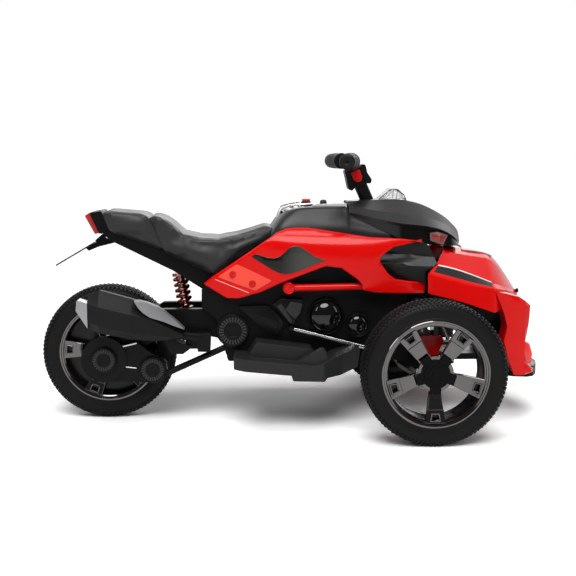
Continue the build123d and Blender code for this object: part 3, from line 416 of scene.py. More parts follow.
def rim(place, outboard, body, node, turn, closed):
    """Lip, barrel, spokes and hub, with the spokes' face to one side."""
    shape = bmesh.new()
    ring_of(shape, lip_profile, 160)
    outwards(shape)
    for face in shape.faces:
        face.material_index = 1 if face.calc_center_median().y < lip_from_y else 0
    lip_faces = set(shape.faces)
    # The whole spoke with its window, then the raised face of its inner part
    for row_count, low, high, trim in [
        (7, spoke_back, spoke_front - pad_sunk, 0.0),
        (3, spoke_front - pad_sunk - 0.5, spoke_front, 0.9),
    ]:
        rows = spoke_rows[:row_count]
        made = bmesh.ops.create_grid(shape, x_segments=3, y_segments=len(rows) - 1, size=1.0)["verts"]
        for corner in made:
            row = round((corner.co.y + 1) / 2 * (len(rows) - 1))
            column = round((corner.co.x + 1) / 2 * 3)
            radius, half_width = rows[row]
            window = window_half[0] if radius < window_radius else window_half[1]
            across = [-half_width + trim, -window, window, half_width - trim][column]
            corner.co = (across, low + dish(radius), radius)
        sheet = list({face for corner in made for face in corner.link_faces})
        if rows == spoke_rows:
            middles = [(f, f.calc_center_median()) for f in sheet]
            gap = [f for f, middle in middles if abs(middle.x) < 1 and window_from < middle.z < window_to]
            bmesh.ops.delete(shape, geom=gap, context="FACES")
            sheet = [f for f in sheet if f.is_valid]
        thicken(shape, sheet, (0, high - low, 0))
    body_faces = [f for f in shape.faces if f not in lip_faces]
    bmesh.ops.recalc_face_normals(shape, faces=body_faces)
    corners = {e for f in body_faces for e in f.edges if len(e.link_faces) == 2}
    corners = [e for e in corners if e.calc_face_angle() > radians(crisp_angle)]
    rounded(shape, corners, 0.9, 2)
    frame_from = set(shape.faces)
    for radius, half in frame_bars:
        bar = block(shape, (2 * half + 2, bar_height, bar_width))
        shift(shape, (0, spoke_front + bar_proud + dish(radius), radius), bar)
    for side in (1, -1):
        bar = block(shape, (bar_width, bar_height, side_bar_length))
        swing(shape, Matrix.Rotation(side * radians(side_bar_lean), 3, "Y"), bar)
        bar_y = spoke_front + bar_proud + spoke_rise * window_lift
        shift(shape, (side * side_bar_x, bar_y, window_radius), bar)
    shift(shape, (0, spoke_back + backing_lift, window_radius), block(shape, backing_size))
    bars = [f for f in shape.faces if f not in frame_from]
    rounded(shape, list({e for f in bars for e in f.edges}), 0.5, 1)
    parts = [f for f in shape.faces if f not in lip_faces]
    geom = parts + list({e for f in parts for e in f.edges}) + list({v for f in parts for v in f.verts})
    around(shape, geom, spoke_count)
    swing(shape, Matrix.Rotation(radians(turn), 3, "Y"))
    hub_profile = [(7, -20), (27, -20), (27, 14), (38, 14.6), (38, 24.6), (37, 25.8), (7, 26.2)]
    ring_of(shape, hub_profile, 64)
    if closed:
        ring_of(shape, [(20, -4), (99, -4), (99, -7), (20, -7)], 96)
    face_out(shape)
    for face in shape.faces:
        middle = face.calc_center_median()
        radius = hypot(middle.x, middle.z)
        if radius < 100 and middle.y < spoke_back + dish(radius) + 1.0:
            face.material_index = 1
    if outboard < 0:
        swing(shape, Matrix.Rotation(pi, 3, "Z"))
    shift(shape, place)
    piece(f"spoked_{node}", shape, [smoked, barrel_black], node, body, sharp=20.0)


for name, place, outboard, turn, closed in wheels:
    rim(place, outboard, f"wheel_{name}", f"rim_{name}", turn, closed)


def wear(paint, *names):
    """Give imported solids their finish."""
    for name in names:
        for holder in nodes[name].material_slots:
            holder.material = paint


wear(hub_black, "hub_cap_front_left", "hub_cap_front_right")

# Front suspension and steering knuckles. Black plastic wishbones and dampers, black coated
# springs and red moulded knuckles with their shields, all pinned to the front frame.
black_satin = moulded(
    "black_satin", (0.0042, 0.0042, 0.0044), 0.4, level=0.11, variation=0.2, grain=0.7, depth=0.03,
    edge=1.2,
)
red_part = moulded("red_moulded", (0.50, 0.003, 0.003), 0.28, level=0.2, grain=1.5, depth=0.01, edge=1.0)
steel = moulded("zinc_steel", (0.40, 0.39, 0.38), 0.3, metallic=1.0, variation=0.15, grain=0.6, edge=0.6)
black_coat = moulded("black_coat", (0.007, 0.007, 0.007), 0.3, level=0.2, edge=0.8)
wear(black_satin, "front_frame", "wishbones_left", "wishbones_right", "front_dampers")
wear(red_part, "knuckle_left", "knuckle_right")
wear(black_coat, "front_springs")
wear(steel, "tie_rod")

# Steering. A steel column in a moulded clamp with red plates, a bent black coated bar and
# soft grips.
wear(steel, "steering_column")
wear(black_satin, "bar_clamp")
wear(red_part, "clamp_inserts")
wear(black_coat, "handlebar")

# Chassis tub. The dark moulded shell between the panels, with the battery in its belly. All
# of it wears the satin black of the frame.
wear(black_satin, "body_core", "belly_cover", "battery")

# Side fairings. Thin red gloss shells that roll over at the top and turn in at the ends. A
# black S-shaped inset is let into each, paling towards the front with a painted reflection.
# Behind it two bolts sit on a paler red patch, which is a painted reflection, and a thin ridge
# along the patch's lower edge is painted pale pink as a highlight.
core_half = 92.0
flank_depth = 46.0
# Rows of (x, share of the depth) along the body and (z, share) up it
flank_plan = [(-206, 0.11), (-150, 0.46), (-60, 0.78), (60, 0.96), (170, 1.0), (240, 0.84), (294, 0.50)]
flank_rise = [(280, 0.90), (300, 1.06), (330, 1.14), (366, 1.12), (396, 0.98), (420, 0.72), (444, 0.26)]
flank_blend = 14.0


def smooth_row(rows, place):
    """Value of a table at a place, with a smooth curve through its rows."""
    place = min(max(place, rows[0][0]), rows[-1][0])
    index = max(i for i in range(len(rows) - 1) if rows[i][0] <= place)
    (x0, y0), (x1, y1) = rows[index], rows[index + 1]
    before = rows[max(index - 1, 0)]
    after = rows[min(index + 2, len(rows) - 1)]
    slope0 = (y1 - before[1]) / (x1 - before[0]) * (x1 - x0)
    slope1 = (after[1] - y0) / (after[0] - x0) * (x1 - x0)
    t = (place - x0) / (x1 - x0)
    return (
        (2 * t**3 - 3 * t**2 + 1) * y0 + (t**3 - 2 * t**2 + t) * slope0
        + (3 * t**2 - 2 * t**3) * y1 + (t**3 - t**2) * slope1
    )


def flank(x, z):
    """Distance of the flank's face from the middle, in millimetres."""
    plan = smooth_row(flank_plan, x)
    rise = smooth_row(flank_rise, z)
    least = -log(exp(-flank_blend * plan) + exp(-flank_blend * rise)) / flank_blend
    return core_half + flank_depth * least


def edged_face(outline, corner, edge):
    """Side view face with rounded corners and a rolled edge; y holds the drop below its face."""
    shape = bmesh.new()
    face = shape.faces.new([shape.verts.new((x, 0, z)) for x, z in outline])
    if corner:
        rounded(shape, shape.verts[:], corner, 3, "VERTICES")
        face = shape.faces[:][0]
    done = 0.0
    for reach in (0.12, 0.45, 1.0):
        ring = face.verts[:]
        bmesh.ops.inset_individual(
            shape, faces=[face], thickness=(reach - done) * edge, use_even_offset=True,
        )
        for corner_vert in ring:
            corner_vert.co.y = edge * (1 - (1 - (1 - done) ** 2) ** 0.5)
        done = reach
    return shape


def cut_grid(shape, step):
    """Cut a side view face into small squares, so that it can follow a curved form."""
    for axis in (0, 2):
        places = [corner.co[axis] for corner in shape.verts]
        level = min(places) + step / 2
        normal = Vector((axis == 0, 0, axis == 2))
        while level < max(places):
            geom = shape.verts[:] + shape.edges[:] + shape.faces[:]
            bmesh.ops.bisect_plane(shape, geom=geom, dist=0.01, plane_co=normal * level, plane_no=normal)
            level += step


def give_depth(shape, form, proud, wall, side):
    """Lay a side view face on a form, give it a wall inwards and close it."""
    for corner in shape.verts:
        corner.co.y = form(corner.co.x, corner.co.z) + proud - corner.co.y
    thicken(shape, shape.faces[:], (0, -wall, 0))
    bmesh.ops.scale(shape, vec=(1, side, 1), verts=shape.verts)
    face_out(shape)


fairing_outline = [
    (-201, 315), (-149, 285), (-121, 285), (-72, 300), (-27, 321), (-9, 328), (68, 357), (103, 353),
    (138, 328), (148, 317), (150, 304), (176, 299), (230, 296), (290, 294), (292, 318), (250, 323),
    (222, 328), (207, 339), (188, 366), (190, 378), (217, 398), (281, 411), (232, 417), (167, 420),
    (100, 430), (32, 440), (0, 440), (-18, 438), (-38, 430), (-178, 334),
]
swoosh_outline = [
    (-94, 378), (-87, 382.5), (-80, 383), (-70, 379.5), (-58, 376), (-44, 375), (-31, 379),
    (-22, 387), (-15, 395), (-7, 400), (1, 402.5), (10, 401), (19, 397), (32, 387.5), (45, 379),
    (58, 373.5), (70, 370), (59, 366.5), (45, 362), (24, 352), (-4, 342), (-18, 340), (-33, 342),
    (-49, 350), (-64, 359), (-80, 369),
]
reflection_patch_outline = [(-169, 332), (-127, 361), (-97, 348), (-49, 325), (-86, 303)]
ridge_outline = [(-175, 327.6), (-174, 325.4), (-101, 297.4), (-100, 299.4)]
fairing_red = moulded(
    "fairing_red", (0.66, 0.003, 0.002), 0.15, level=0.24, variation=0.04, grain=2.5, depth=0.006,
    edge=0.8,
)
# Darker gloss black for the recess under the cowl's chine, a painted shade.
chine_painted_shade = moulded("chine_painted_shade", (0.005, 0.005, 0.005), 0.1, level=0.3, variation=0.2, edge=0.6)


def lacquer_with_painted_reflection(name, dark, reflected_tint, x_from, x_to):
    """Gloss lacquer that fades along X, between places in millimetres, from its dark tone to a
    paler tint that is a painted reflection.
    """
    paint = moulded(name, dark, 0.12, level=0.35, variation=0.1, edge=0.4)
    tree = paint.node_tree
    shader = tree.nodes["Principled BSDF"]
    mottle = shader.inputs["Base Color"].links[0].from_socket
    spot = add_node(tree, "TexCoord").outputs["Object"]
    split = add_node(tree, "SeparateXYZ", [(0, spot)])
    ramp = add_node(tree, "MapRange", [
        ("Value", split.outputs["X"]), ("From Min", x_from * mm), ("From Max", x_to * mm),
    ], interpolation_type="SMOOTHSTEP")
    mix = add_node(tree, "Mix", [(0, ramp.outputs[0]), (6, mottle), (7, (*reflected_tint, 1))], data_type="RGBA")
    tree.links.new(mix.outputs[2], shader.inputs["Base Color"])
    return paint


# The inset's paler front part is a painted reflection on its curved gloss face.
swoosh_painted_reflection = lacquer_with_painted_reflection("swoosh_painted_reflection", (0.005, 0.005, 0.005), (0.055, 0.058, 0.050), -45.0, 30.0)
# Paler salmon red of the flat patch behind the inset, a painted reflection of the light.
reflection_patch_red = moulded("reflection_patch_red", (0.88, 0.075, 0.05), 0.35, level=0.22, variation=0.06, edge=0.0)
bolt_red = moulded("bolt_red", (0.60, 0.006, 0.005), 0.25, level=0.25, edge=0.3)


def flank_layer(outline, corner, edge, step, proud, wall, side):
    """Thin piece that lies on the flank's form."""
    shape = edged_face(outline, corner, edge)
    cut_grid(shape, step)
    give_depth(shape, flank, proud, wall, side)
    return shape


def add_shape(shape, other):
    """Join another shape into this one."""
    data = mesh_of("joined", other)
    shape.from_mesh(data)
    bpy.data.meshes.remove(data)


def turned_rod(start, end, profile, steps=32):
    """Round piece on a line; profile rows of (distance along it, radius)."""
    shape = bmesh.new()
    rows = [(0, profile[0][0])] + [(radius, along) for along, radius in profile] + [(0, profile[-1][0])]
    ring_of(shape, rows, steps, False)
    outwards(shape)
    run = Vector(end) - Vector(start)
    swing(shape, run.to_track_quat("Y", "Z").to_matrix())
    shift(shape, start)
    return shape


tube_y = core_half + flank_depth * 0.6
tube_rows = [(0, 8.5), (20, 8.2), (60, 7.6), (150, 7.4), (162, 7.4)]
boss_rows = [
    (0, 13), (tube_y - 84, 13), (tube_y - 82.5, 12.2), (tube_y - 82, 10.4), (tube_y - 84.2, 9.6),
    (tube_y - 84.4, 5),
]
bolt_rows = [(0, 8), (1.2, 8), (2.2, 7.2), (2.4, 5), (1.2, 4.6), (1.2, 3)]
bolt_places = [(-135, 338), (-92, 318)]
insets, reflection_patches, bolts, highlight_ridges = [bmesh.new() for shape in range(4)]
for side, side_name in ((-1, "right"), (1, "left")):
    shell = flank_layer(fairing_outline, 2.5, 3.2, 11.0, 0.0, 6.0, side)
    add_shape(shell, turned_rod((-12, side * tube_y, 308), (152, side * tube_y, 311), tube_rows))
    add_shape(shell, turned_rod((-12, side * 92, 308), (-12, side * 200, 308), boss_rows))
    piece(f"fairing_shell_{side_name}", shell, [fairing_red], f"side_fairing_{side_name}")
    add_shape(insets, flank_layer(swoosh_outline, 0.0, 0.9, 11.0, 1.0, 3.0, side))
    add_shape(reflection_patches, flank_layer(reflection_patch_outline, 4.0, 0.4, 11.0, 0.5, 1.2, side))
    add_shape(highlight_ridges, flank_layer(ridge_outline, 0.0, 0.5, 14.0, 1.1, 2.0, side))
    for x, z in bolt_places:
        seat = flank(x, z)
        add_shape(bolts, turned_rod((x, side * seat, z), (x, side * (seat + 10), z), bolt_rows, 24))
piece("flank_insets", insets, [swoosh_painted_reflection], "fairing_insets")
piece("flank_reflection_patches", reflection_patches, [reflection_patch_red])
piece("flank_bolts", bolts, [bolt_red])
# The pale pink of the thin ridge is a painted highlight along its crease.
ridge_painted_highlight = moulded("ridge_painted_highlight", (0.85, 0.30, 0.26), 0.12, level=0.5, edge=0.0)
piece("flank_highlight_ridges", highlight_ridges, [ridge_painted_highlight])

# Nose cowl. The satin black hood over the headlamps, one moulding with sharp creases that run
# forward to a blunt tip. Ahead of the tank its band under the chine is painted a darker gloss
# black, as painted shade in that recess.
# Rows of (x, points (y, z) from under the low edge over the chine and shoulder to the crown)
cowl_rows = [
    (124, [(52, 452), (76, 455), (79, 466), (83, 472), (70, 487), (36, 495), (0, 496)]),
    (152, [(64, 446), (87, 448), (90, 460), (93, 467), (76, 482), (38, 496.5), (0, 498)]),
    (178, [(72, 438), (97, 440), (100, 454), (102, 461), (82, 477), (40, 498), (0, 500)]),
    (208, [(80, 425), (104, 428), (106, 448), (108, 455), (84, 473), (40, 500), (0, 502)]),
    (236, [(84, 412), (106, 414), (105, 443), (112, 449), (86, 469), (40, 500), (0, 502)]),
    (246, [(84, 410), (105, 412), (103, 442), (113, 448), (86, 468), (40, 499), (0, 501)]),
    (282, [(84, 402), (104, 405), (102, 438), (112, 445), (84, 464), (40, 492), (0, 495)]),
    (303, [(84, 400), (103, 403), (100, 434), (110, 441), (79, 459), (39, 484), (0, 487)]),
    (323, [(80, 399), (100, 402), (96, 430), (106, 437), (72, 453), (38, 474), (0, 477)]),
    (339, [(74, 397), (94, 400), (91, 424), (100, 430), (66, 447), (35, 465), (0, 468)]),
    (354, [(68, 395), (89, 397), (86, 417), (94, 422), (58, 440), (32, 455), (0, 457)]),
    (366, [(58, 395), (76, 397), (72, 408), (77, 412), (48, 430), (27, 443), (0, 446)]),
    (374, [(46, 396), (60, 398), (56, 403), (60, 406), (40, 423), (22, 436), (0, 438)]),
    (381, [(32, 401), (40, 402), (36, 405), (38, 408), (28, 419), (16, 427), (0, 429)]),
]


def skin(rows, creases, row_creases=(), bands=()):
    """Open half shell through rows of (x, [(y, z), ...]) or of points (x, y, z). A band is
    (column, first row, last row, material) of the faces after that column."""
    shape = bmesh.new()
    columns = len(rows[0][1]) if len(rows[0]) == 2 else len(rows[0])
    grid = bmesh.ops.create_grid(shape, x_segments=columns - 1, y_segments=len(rows) - 1, size=1.0)
    made = grid["verts"]
    column_of = {}
    for corner in made:
        column = round((corner.co.x + 1) / 2 * (columns - 1))
        row = round((corner.co.y + 1) / 2 * (len(rows) - 1))
        column_of[corner] = (column, row)
        if len(rows[row]) == 2:
            x, points = rows[row]
            y, z = points[column]
        else:
            x, y, z = rows[row][column]
        corner.co = (x, -y, z)
    for face in shape.faces:
        column = min(column_of[corner][0] for corner in face.verts)
        row = min(column_of[corner][1] for corner in face.verts)
        for band_column, first_row, last_row, material in bands:
            if column == band_column and first_row <= row < last_row:
                face.material_index = material
    fold = shape.edges.layers.float.new("crease_edge")
    for edge in shape.edges:
        (column, row), (column_to, row_to) = [column_of[corner] for corner in edge.verts]
        if column == column_to and column in creases:
            edge[fold] = creases[column]
        if row == row_to and row in row_creases:
            edge[fold] = row_creases[row]
    return shape


def both_halves(shape):
    """Add the mirror image and close the seam along the middle."""
    geom = shape.verts[:] + shape.edges[:] + shape.faces[:]
    bmesh.ops.mirror(shape, geom=geom, matrix=Matrix(), merge_dist=0.02, axis="Y")
    face_out(shape)
    highest = max(shape.faces, key=lambda face: face.calc_center_median().z)
    if highest.normal.z < 0:
        bmesh.ops.reverse_faces(shape, faces=shape.faces)


def refine(obj, levels, wall):
    """Round an open shell between its creases and give it its wall."""
    rounding = obj.modifiers.new("rounding", "SUBSURF")
    rounding.levels = levels
    rounding.render_levels = levels
    rounding.boundary_smooth = "PRESERVE_CORNERS"
    walling = obj.modifiers.new("wall", "SOLIDIFY")
    walling.thickness = wall * mm
    walling.offset = -1.0


cowl_creases = {1: 1.0, 2: 1.0, 3: 1.0, 4: 0.9, 5: 1.0}
cowl_satin = moulded(
    "cowl_satin", (0.014, 0.014, 0.0143), 0.34, level=0.3, variation=0.2, grain=0.7, depth=0.03,
    edge=1.0,
)
# The faces under the chine, rows 4 to 13, take the darker black of painted shade.
cowl = skin(cowl_rows, cowl_creases, {13: 1.0}, [(1, 4, 13, 1)])
both_halves(cowl)
tip_x = cowl_rows[-1][0]
tip_z = 410
tip_share = (1, 0.8, 0.7)
tip = [e for e in cowl.edges if e.is_boundary and all(abs(v.co.x - tip_x) < 0.1 for v in e.verts)]
grown = bmesh.ops.extrude_edge_only(cowl, edges=tip)["geom"]
tip_verts = [g for g in grown if isinstance(g, bmesh.types.BMVert)]
bmesh.ops.scale(cowl, vec=tip_share, space=Matrix.Translation((0, 0, -tip_z)), verts=tip_verts)
shift(cowl, (1.0, 0, 0), tip_verts)
tip_edges = [g for g in grown if isinstance(g, bmesh.types.BMEdge)]
tip_edges = [e for e in tip_edges if all(v in tip_verts for v in e.verts)]
bmesh.ops.contextual_create(cowl, geom=tip_edges)
face_out(cowl)
cowl_piece = piece("cowl_shell", cowl, [cowl_satin, chine_painted_shade], "nose_cowl", sharp=180.0)
refine(cowl_piece, 2, 3.0)

# Front hood. A red gloss moulding over the front wheels' frame, faceted at its sides, with a
# black stripe under a white line on each side and a grey gloss panel on its top.
# Rows of points (x, y, z): low edge, chine, foot and top of the stripe, top of the line above
# it, facet's top, crown, middle
hood_rows = [
    [(290, 161, 300), (290, 159, 342), (296, 152, 347), (311, 133, 358), (313, 131, 360.5),
     (336, 92, 387), (344, 38, 394), (345, 0, 395)],
    [(300, 162, 297), (300, 159, 339), (304, 150, 345), (316, 132, 357), (318, 130, 359.5),
     (339, 90, 386.5), (347, 37, 394), (348, 0, 395)],
    [(343, 163, 287), (343, 157, 326), (344, 147, 335), (347, 129, 351), (348, 127, 353.5),
     (352, 84, 383), (356, 32, 392.5), (357, 0, 393.5)],
    [(384, 161, 275), (384, 153, 315), (384, 144, 323), (384, 126, 339), (384, 124, 341.5),
     (386, 76, 376), (390, 29, 389), (390, 0, 390)],
    [(438, 151, 255), (438, 147, 307), (438, 141, 310), (438, 124, 318), (438, 122, 320),
     (438, 62, 368), (440, 26, 380.5), (441, 0, 382)],
    [(444, 149, 255), (444, 146, 306), (444, 139, 309), (444, 122, 316), (444, 120, 318),
     (446, 60, 364), (448, 26, 376.5), (449, 0, 378)],
    [(472, 123, 268), (473, 121, 301), (472, 117, 303), (472, 106, 308), (472, 104, 310),
     (470, 48, 348), (473, 24, 357), (474, 0, 359)],
    [(512, 51, 278), (514, 55, 284), (515, 50, 285), (515, 40, 287), (515, 38, 288),
     (516, 26, 289.5), (517, 14, 290), (518, 0, 290)],
]
hood_creases = {1: 0.95, 2: 1.0, 3: 1.0, 4: 1.0, 5: 0.9, 6: 0.5}
stripe_bands = [(2, 1, 4, 1), (3, 1, 4, 2)]
hood = skin(hood_rows, hood_creases, {1: 1.0, 4: 1.0, 5: 0.5}, stripe_bands)
both_halves(hood)
stripe_black = moulded("stripe_black", (0.012, 0.012, 0.012), 0.25, level=0.3, variation=0.5, edge=0.0)
line_white = moulded("line_white", (0.72, 0.72, 0.72), 0.3, level=0.3, variation=0.03, edge=0.0)
hood_piece = piece(
    "hood_shell", hood, [fairing_red, stripe_black, line_white], "front_hood", sharp=180.0,
)
refine(hood_piece, 2, 3.0)

# Grey panel on the hood. A thin gloss grey plate, laid over the red moulding's crown and
# faceted like it.
panel_rows = [
    [(384, 51, 384.5), (388, 27, 390.5), (389, 0, 391.5)],
    [(412, 47, 381.5), (415, 25, 386.8), (416, 0, 388)],
    [(440, 41, 376.5), (443, 23, 380.6), (444, 0, 382)],
    [(458, 34, 368), (461, 20, 371), (462, 0, 372.5)],
]
panel_lift = 1.8
panel_grey = moulded("panel_grey", (0.26, 0.28, 0.285), 0.08, level=0.5, variation=0.1, edge=0.3)
hood_panel = skin([[(x, y, z + panel_lift) for x, y, z in row] for row in panel_rows], {1: 0.6})
both_halves(hood_panel)
hood_panel_piece = piece("hood_panel", hood_panel, [panel_grey], sharp=180.0)
refine(hood_panel_piece, 1, 2.6)

# Arch liners. Plain black plates inside the hood that close the view into the front frame.
# Their form is guessed.
arch_outline = [
    (316, 268), (318, 346), (384, 356), (440, 326), (476, 302), (478, 240), (446, 228), (366, 238),
]
liners = bmesh.new()
for side in (1, -1):
    liner = bmesh.new()
    liner.faces.new([liner.verts.new((x, side * 86, z)) for x, z in arch_outline])
    thicken(liner, liner.faces[:], (0, side * 3, 0))
    face_out(liner)
    rounded(liner, liner.edges[:], 0.8, 1)
    add_shape(liners, liner)
piece("arch_liners", liners, [black_satin])


def side_plate(outline, y_from, y_to, edge, segments=2):
    """Side view outline of (x, z, corner cut) given a thickness and rounded edges."""
    shape = bmesh.new()
    corners = [shape.verts.new((x, y_from, z)) for x, z, cut in outline]
    shape.faces.new(corners)
    for corner, (x, z, cut) in zip(corners, outline):
        if cut:
            rounded(shape, [corner], cut, 4, "VERTICES")
    thicken(shape, shape.faces[:], (0, y_to - y_from, 0))
    face_out(shape)
    if edge:
        rim_edges = [e for e in shape.edges if all(abs(v.co.y - y_to) < 0.01 for v in e.verts)]
        rounded(shape, rim_edges, edge, segments)
    return shape


def both_flanks(shape):
    """Add the mirror image on the other side of the middle."""
    geom = shape.verts[:] + shape.edges[:] + shape.faces[:]
    bmesh.ops.mirror(shape, geom=geom, matrix=Matrix(), merge_dist=0.0, axis="Y")
    face_out(shape)


# Cowl liners. Plain black plates inside the cowl, which close the view across it above the
# fairings. Their form is guessed.
liner_outline = [(195, 378, 0), (300, 376, 0), (300, 404, 0), (262, 412, 0), (195, 426, 0)]
cowl_liners = bmesh.new()
for side in (-1, 1):
    add_shape(cowl_liners, side_plate(liner_outline, side * 58, side * 60, 0))
piece("cowl_liners", cowl_liners, [black_satin])

# Headlamps. Two dark red lenses with faceted edges in a metallic frame, on each flank of the
# cowl. They are raked with it in plan.
lamp_rake = 0.30
lamp_from_x = 303
lens_glass = moulded(
    "lens_glass", (0.22, 0.020, 0.018), 0.08, level=0.6, variation=0.7, grain=5.0, depth=0.5, edge=0.4,
)
lens_frame = moulded(
    "lens_frame", (0.20, 0.11, 0.10), 0.25, metallic=0.4, variation=0.3, grain=3.0, edge=0.4,
)
# Rows of (outline, |y| from, |y| to, edge, material)
lens_table = [
    ([(301, 428, 1), (302, 411, 1), (333, 400, 1), (343, 422, 1), (318, 430, 1)], 103.0, 110.5, 1.0, 1),
    ([(305, 425, 1), (306, 413, 1), (322, 407, 1), (325, 425, 1)], 106.0, 112.0, 2.4, 0),
    ([(327, 424, 1), (324, 407, 1), (332, 403, 1), (339, 420, 1)], 106.0, 111.6, 2.0, 0),
]


def use_paint(shape, index):
    """Give the whole shape one of its piece's paints."""
    for face in shape.faces:
        face.material_index = index


lamps = bmesh.new()
for outline, y_from, y_to, edge, paint_index in lens_table:
    lens = side_plate(outline, -y_from, -y_to, edge)
    for corner in lens.verts:
        corner.co.y += lamp_rake * (corner.co.x - lamp_from_x)
    use_paint(lens, paint_index)
    add_shape(lamps, lens)
both_flanks(lamps)
piece("lamp_clusters", lamps, [lens_glass, lens_frame], "head_lamps")

# Windscreen. A small blade of clear plastic that stands on the cowl, held in a thin rim of
# smoked plastic bars.
screen_clear = moulded(
    "screen_clear", (1.0, 1.0, 1.0), 0.02, level=0.3, variation=0.0, grain=3.0, depth=0.002, edge=0.0,
)
clear_inputs = screen_clear.node_tree.nodes["Principled BSDF"].inputs
clear_inputs["Transmission Weight"].default_value = 1.0
clear_inputs["IOR"].default_value = 1.12
wear(screen_clear, "windscreen")
screen_smoke = moulded("screen_smoke", (0.035, 0.035, 0.037), 0.12, level=0.4, edge=0.2)
# Rows of (start, end, radius) of the rim's bars; y is mirrored
screen_bars = [
    ((193, -33, 496), (223, -32, 522), 0.9), ((223, -32, 522), (239, -32, 522), 0.9),
    ((239, -32, 522), (254, -32, 509), 0.9), ((254, -32, 509), (260, -32, 494), 0.9),
    ((223, -32, 522), (223, 32, 522), 0.9), ((239, -32, 522), (239, 32, 522), 0.9),
    ((254, -32, 509), (254, 32, 509), 0.8), ((236, -32, 498), (239, -32, 522), 0.7),
    ((208, -32, 499), (231, -32, 521), 0.5), ((201, -32, 498), (226, -32, 521), 0.5),
]
screen_rim = bmesh.new()
for start, end, radius in screen_bars:
    length = (Vector(end) - Vector(start)).length
    for side in (1, -1) if start[1] == end[1] else (1,):
        ends = [(x, side * y, z) for x, y, z in (start, end)]
        add_shape(screen_rim, turned_rod(*ends, [(0, radius), (length, radius)], 8))
piece("screen_rim", screen_rim, [screen_smoke])

# Side scoops. Gloss black hollow panels between each fairing's point and the hood, folded
# along their length.
scoop_outline = [
    (214, 397), (248, 404), (282, 411), (298, 400), (306, 384), (313, 364), (302, 352), (289, 344),
    (291, 318), (262, 321), (232, 325), (218, 331), (208, 338), (198, 350), (188, 366), (191, 379),
    (202, 389),
]
scoop_from = 188
scoop_length = 124
scoop_deep = 107
scoop_flare = 36
fold_z = 362
fold_drop = 8
upper_lean = 0.8
most_lean = 17
lower_lean = 0.2


def scoop_form(x, z):
    """Distance of the scoop's face from the middle: deep at its rear, flush with the hood ahead.
    Its upper half leans back from a fold and catches the light."""
    along = min(max((x - scoop_from) / scoop_length, 0), 1)
    fold = fold_z - fold_drop * along
    lean = min(upper_lean * (z - fold), most_lean) if z > fold else lower_lean * (fold - z)
    return scoop_deep + scoop_flare * along ** 1.6 - lean


scoops = bmesh.new()
for side in (1, -1):
    scoop = edged_face(scoop_outline, 0.0, 1.2)
    cut_grid(scoop, 4.0)
    give_depth(scoop, scoop_form, 0.0, 6.0, side)
    add_shape(scoops, scoop)
scoop_black = moulded("scoop_black", (0.006, 0.006, 0.006), 0.28, level=0.32, variation=0.2, edge=0.3)
piece("scoop_panels", scoops, [scoop_black], "side_scoops", sharp=24.0)

# Side pods. Red gloss cheeks under the hood, one moulding each, that round into the front and
# run out in a lip under the bumper. Each holds a tall lamp with a gloss red lens.
pod_outline = [
    (440, 303), (466, 298), (493, 291), (510, 280), (524, 268), (523, 246), (521, 224), (518, 204),
    (514, 184), (512, 159), (517, 145), (522, 134), (538, 124), (537, 116), (515, 112), (494, 112),
    (484, 126), (475, 140), (468, 166), (462, 190), (466, 207), (469, 224), (461, 252), (452, 276),
]
# Rows of (y, furthest x, share of the outline's size)
pod_slices = [
    (92, 541, 1.0), (118, 538, 1.0), (132, 528, 1.0), (142, 512, 0.995), (147, 498, 0.985),
    (149, 488, 0.96),
]
pod_middle = (492, 205)
front_from = 520
front_slope = 0.12
pods = bmesh.new()
loops = []
for y, furthest, share in pod_slices:
    loop = []
    for x, z in pod_outline:
        x_here = pod_middle[0] + (x - pod_middle[0]) * share
        z_here = pod_middle[1] + (z - pod_middle[1]) * share
        x_here = min(x_here, furthest + (x_here - front_from) * front_slope)
        loop.append(pods.verts.new((x_here, -y, z_here)))
    loops.append([pods.edges.new(pair) for pair in zip(loop, loop[1:] + loop[:1])])
for near, far in zip(loops, loops[1:]):
    bmesh.ops.bridge_loops(pods, edges=near + far)
bmesh.ops.holes_fill(pods, edges=loops[0] + loops[-1], sides=0)
both_flanks(pods)
piece("pod_shells", pods, [fairing_red], "side_pods", sharp=28.0)
pod_lens = moulded(
    "pod_lens", (0.80, 0.05, 0.04), 0.06, level=0.6, variation=0.25, grain=4.0, depth=0.4, edge=0.3,
)
glass_outline = [(513, 186, 3), (527, 181, 3), (534, 158, 3), (532, 134, 3), (519, 137, 3), (508, 158, 4)]
lamp_glass = side_plate(glass_outline, -98, -123, 2.5, 3)
both_flanks(lamp_glass)
piece("lamp_lenses", lamp_glass, [pod_lens], "pod_lamps")

# Bumper and grille. A satin black bar across the front, a black mesh panel behind it and two
# pins on each side that hold the pods.
bumper_black = moulded("bumper_black", (0.004, 0.004, 0.004), 0.4, level=0.12, edge=1.5)
wear(bumper_black, "bumper")
wear(black_satin, "grille")
# Rows of (x from, z from, x to, z to)
pin_rows = [(497, 290, 519, 290.5), (506, 213, 524, 213)]
front_pins = bmesh.new()
for side in (1, -1):
    for x_from, z_from, x_to, z_to in pin_rows:
        reach = x_to - x_from
        pin = [(0, 3.2), (reach - 5, 3.2), (reach - 4, 5.0), (reach - 1, 5.0), (reach, 4.0)]
        add_shape(front_pins, turned_rod((x_from, side * 40, z_from), (x_to, side * 40, z_to), pin, 20))
piece("front_pins", front_pins, [black_satin])

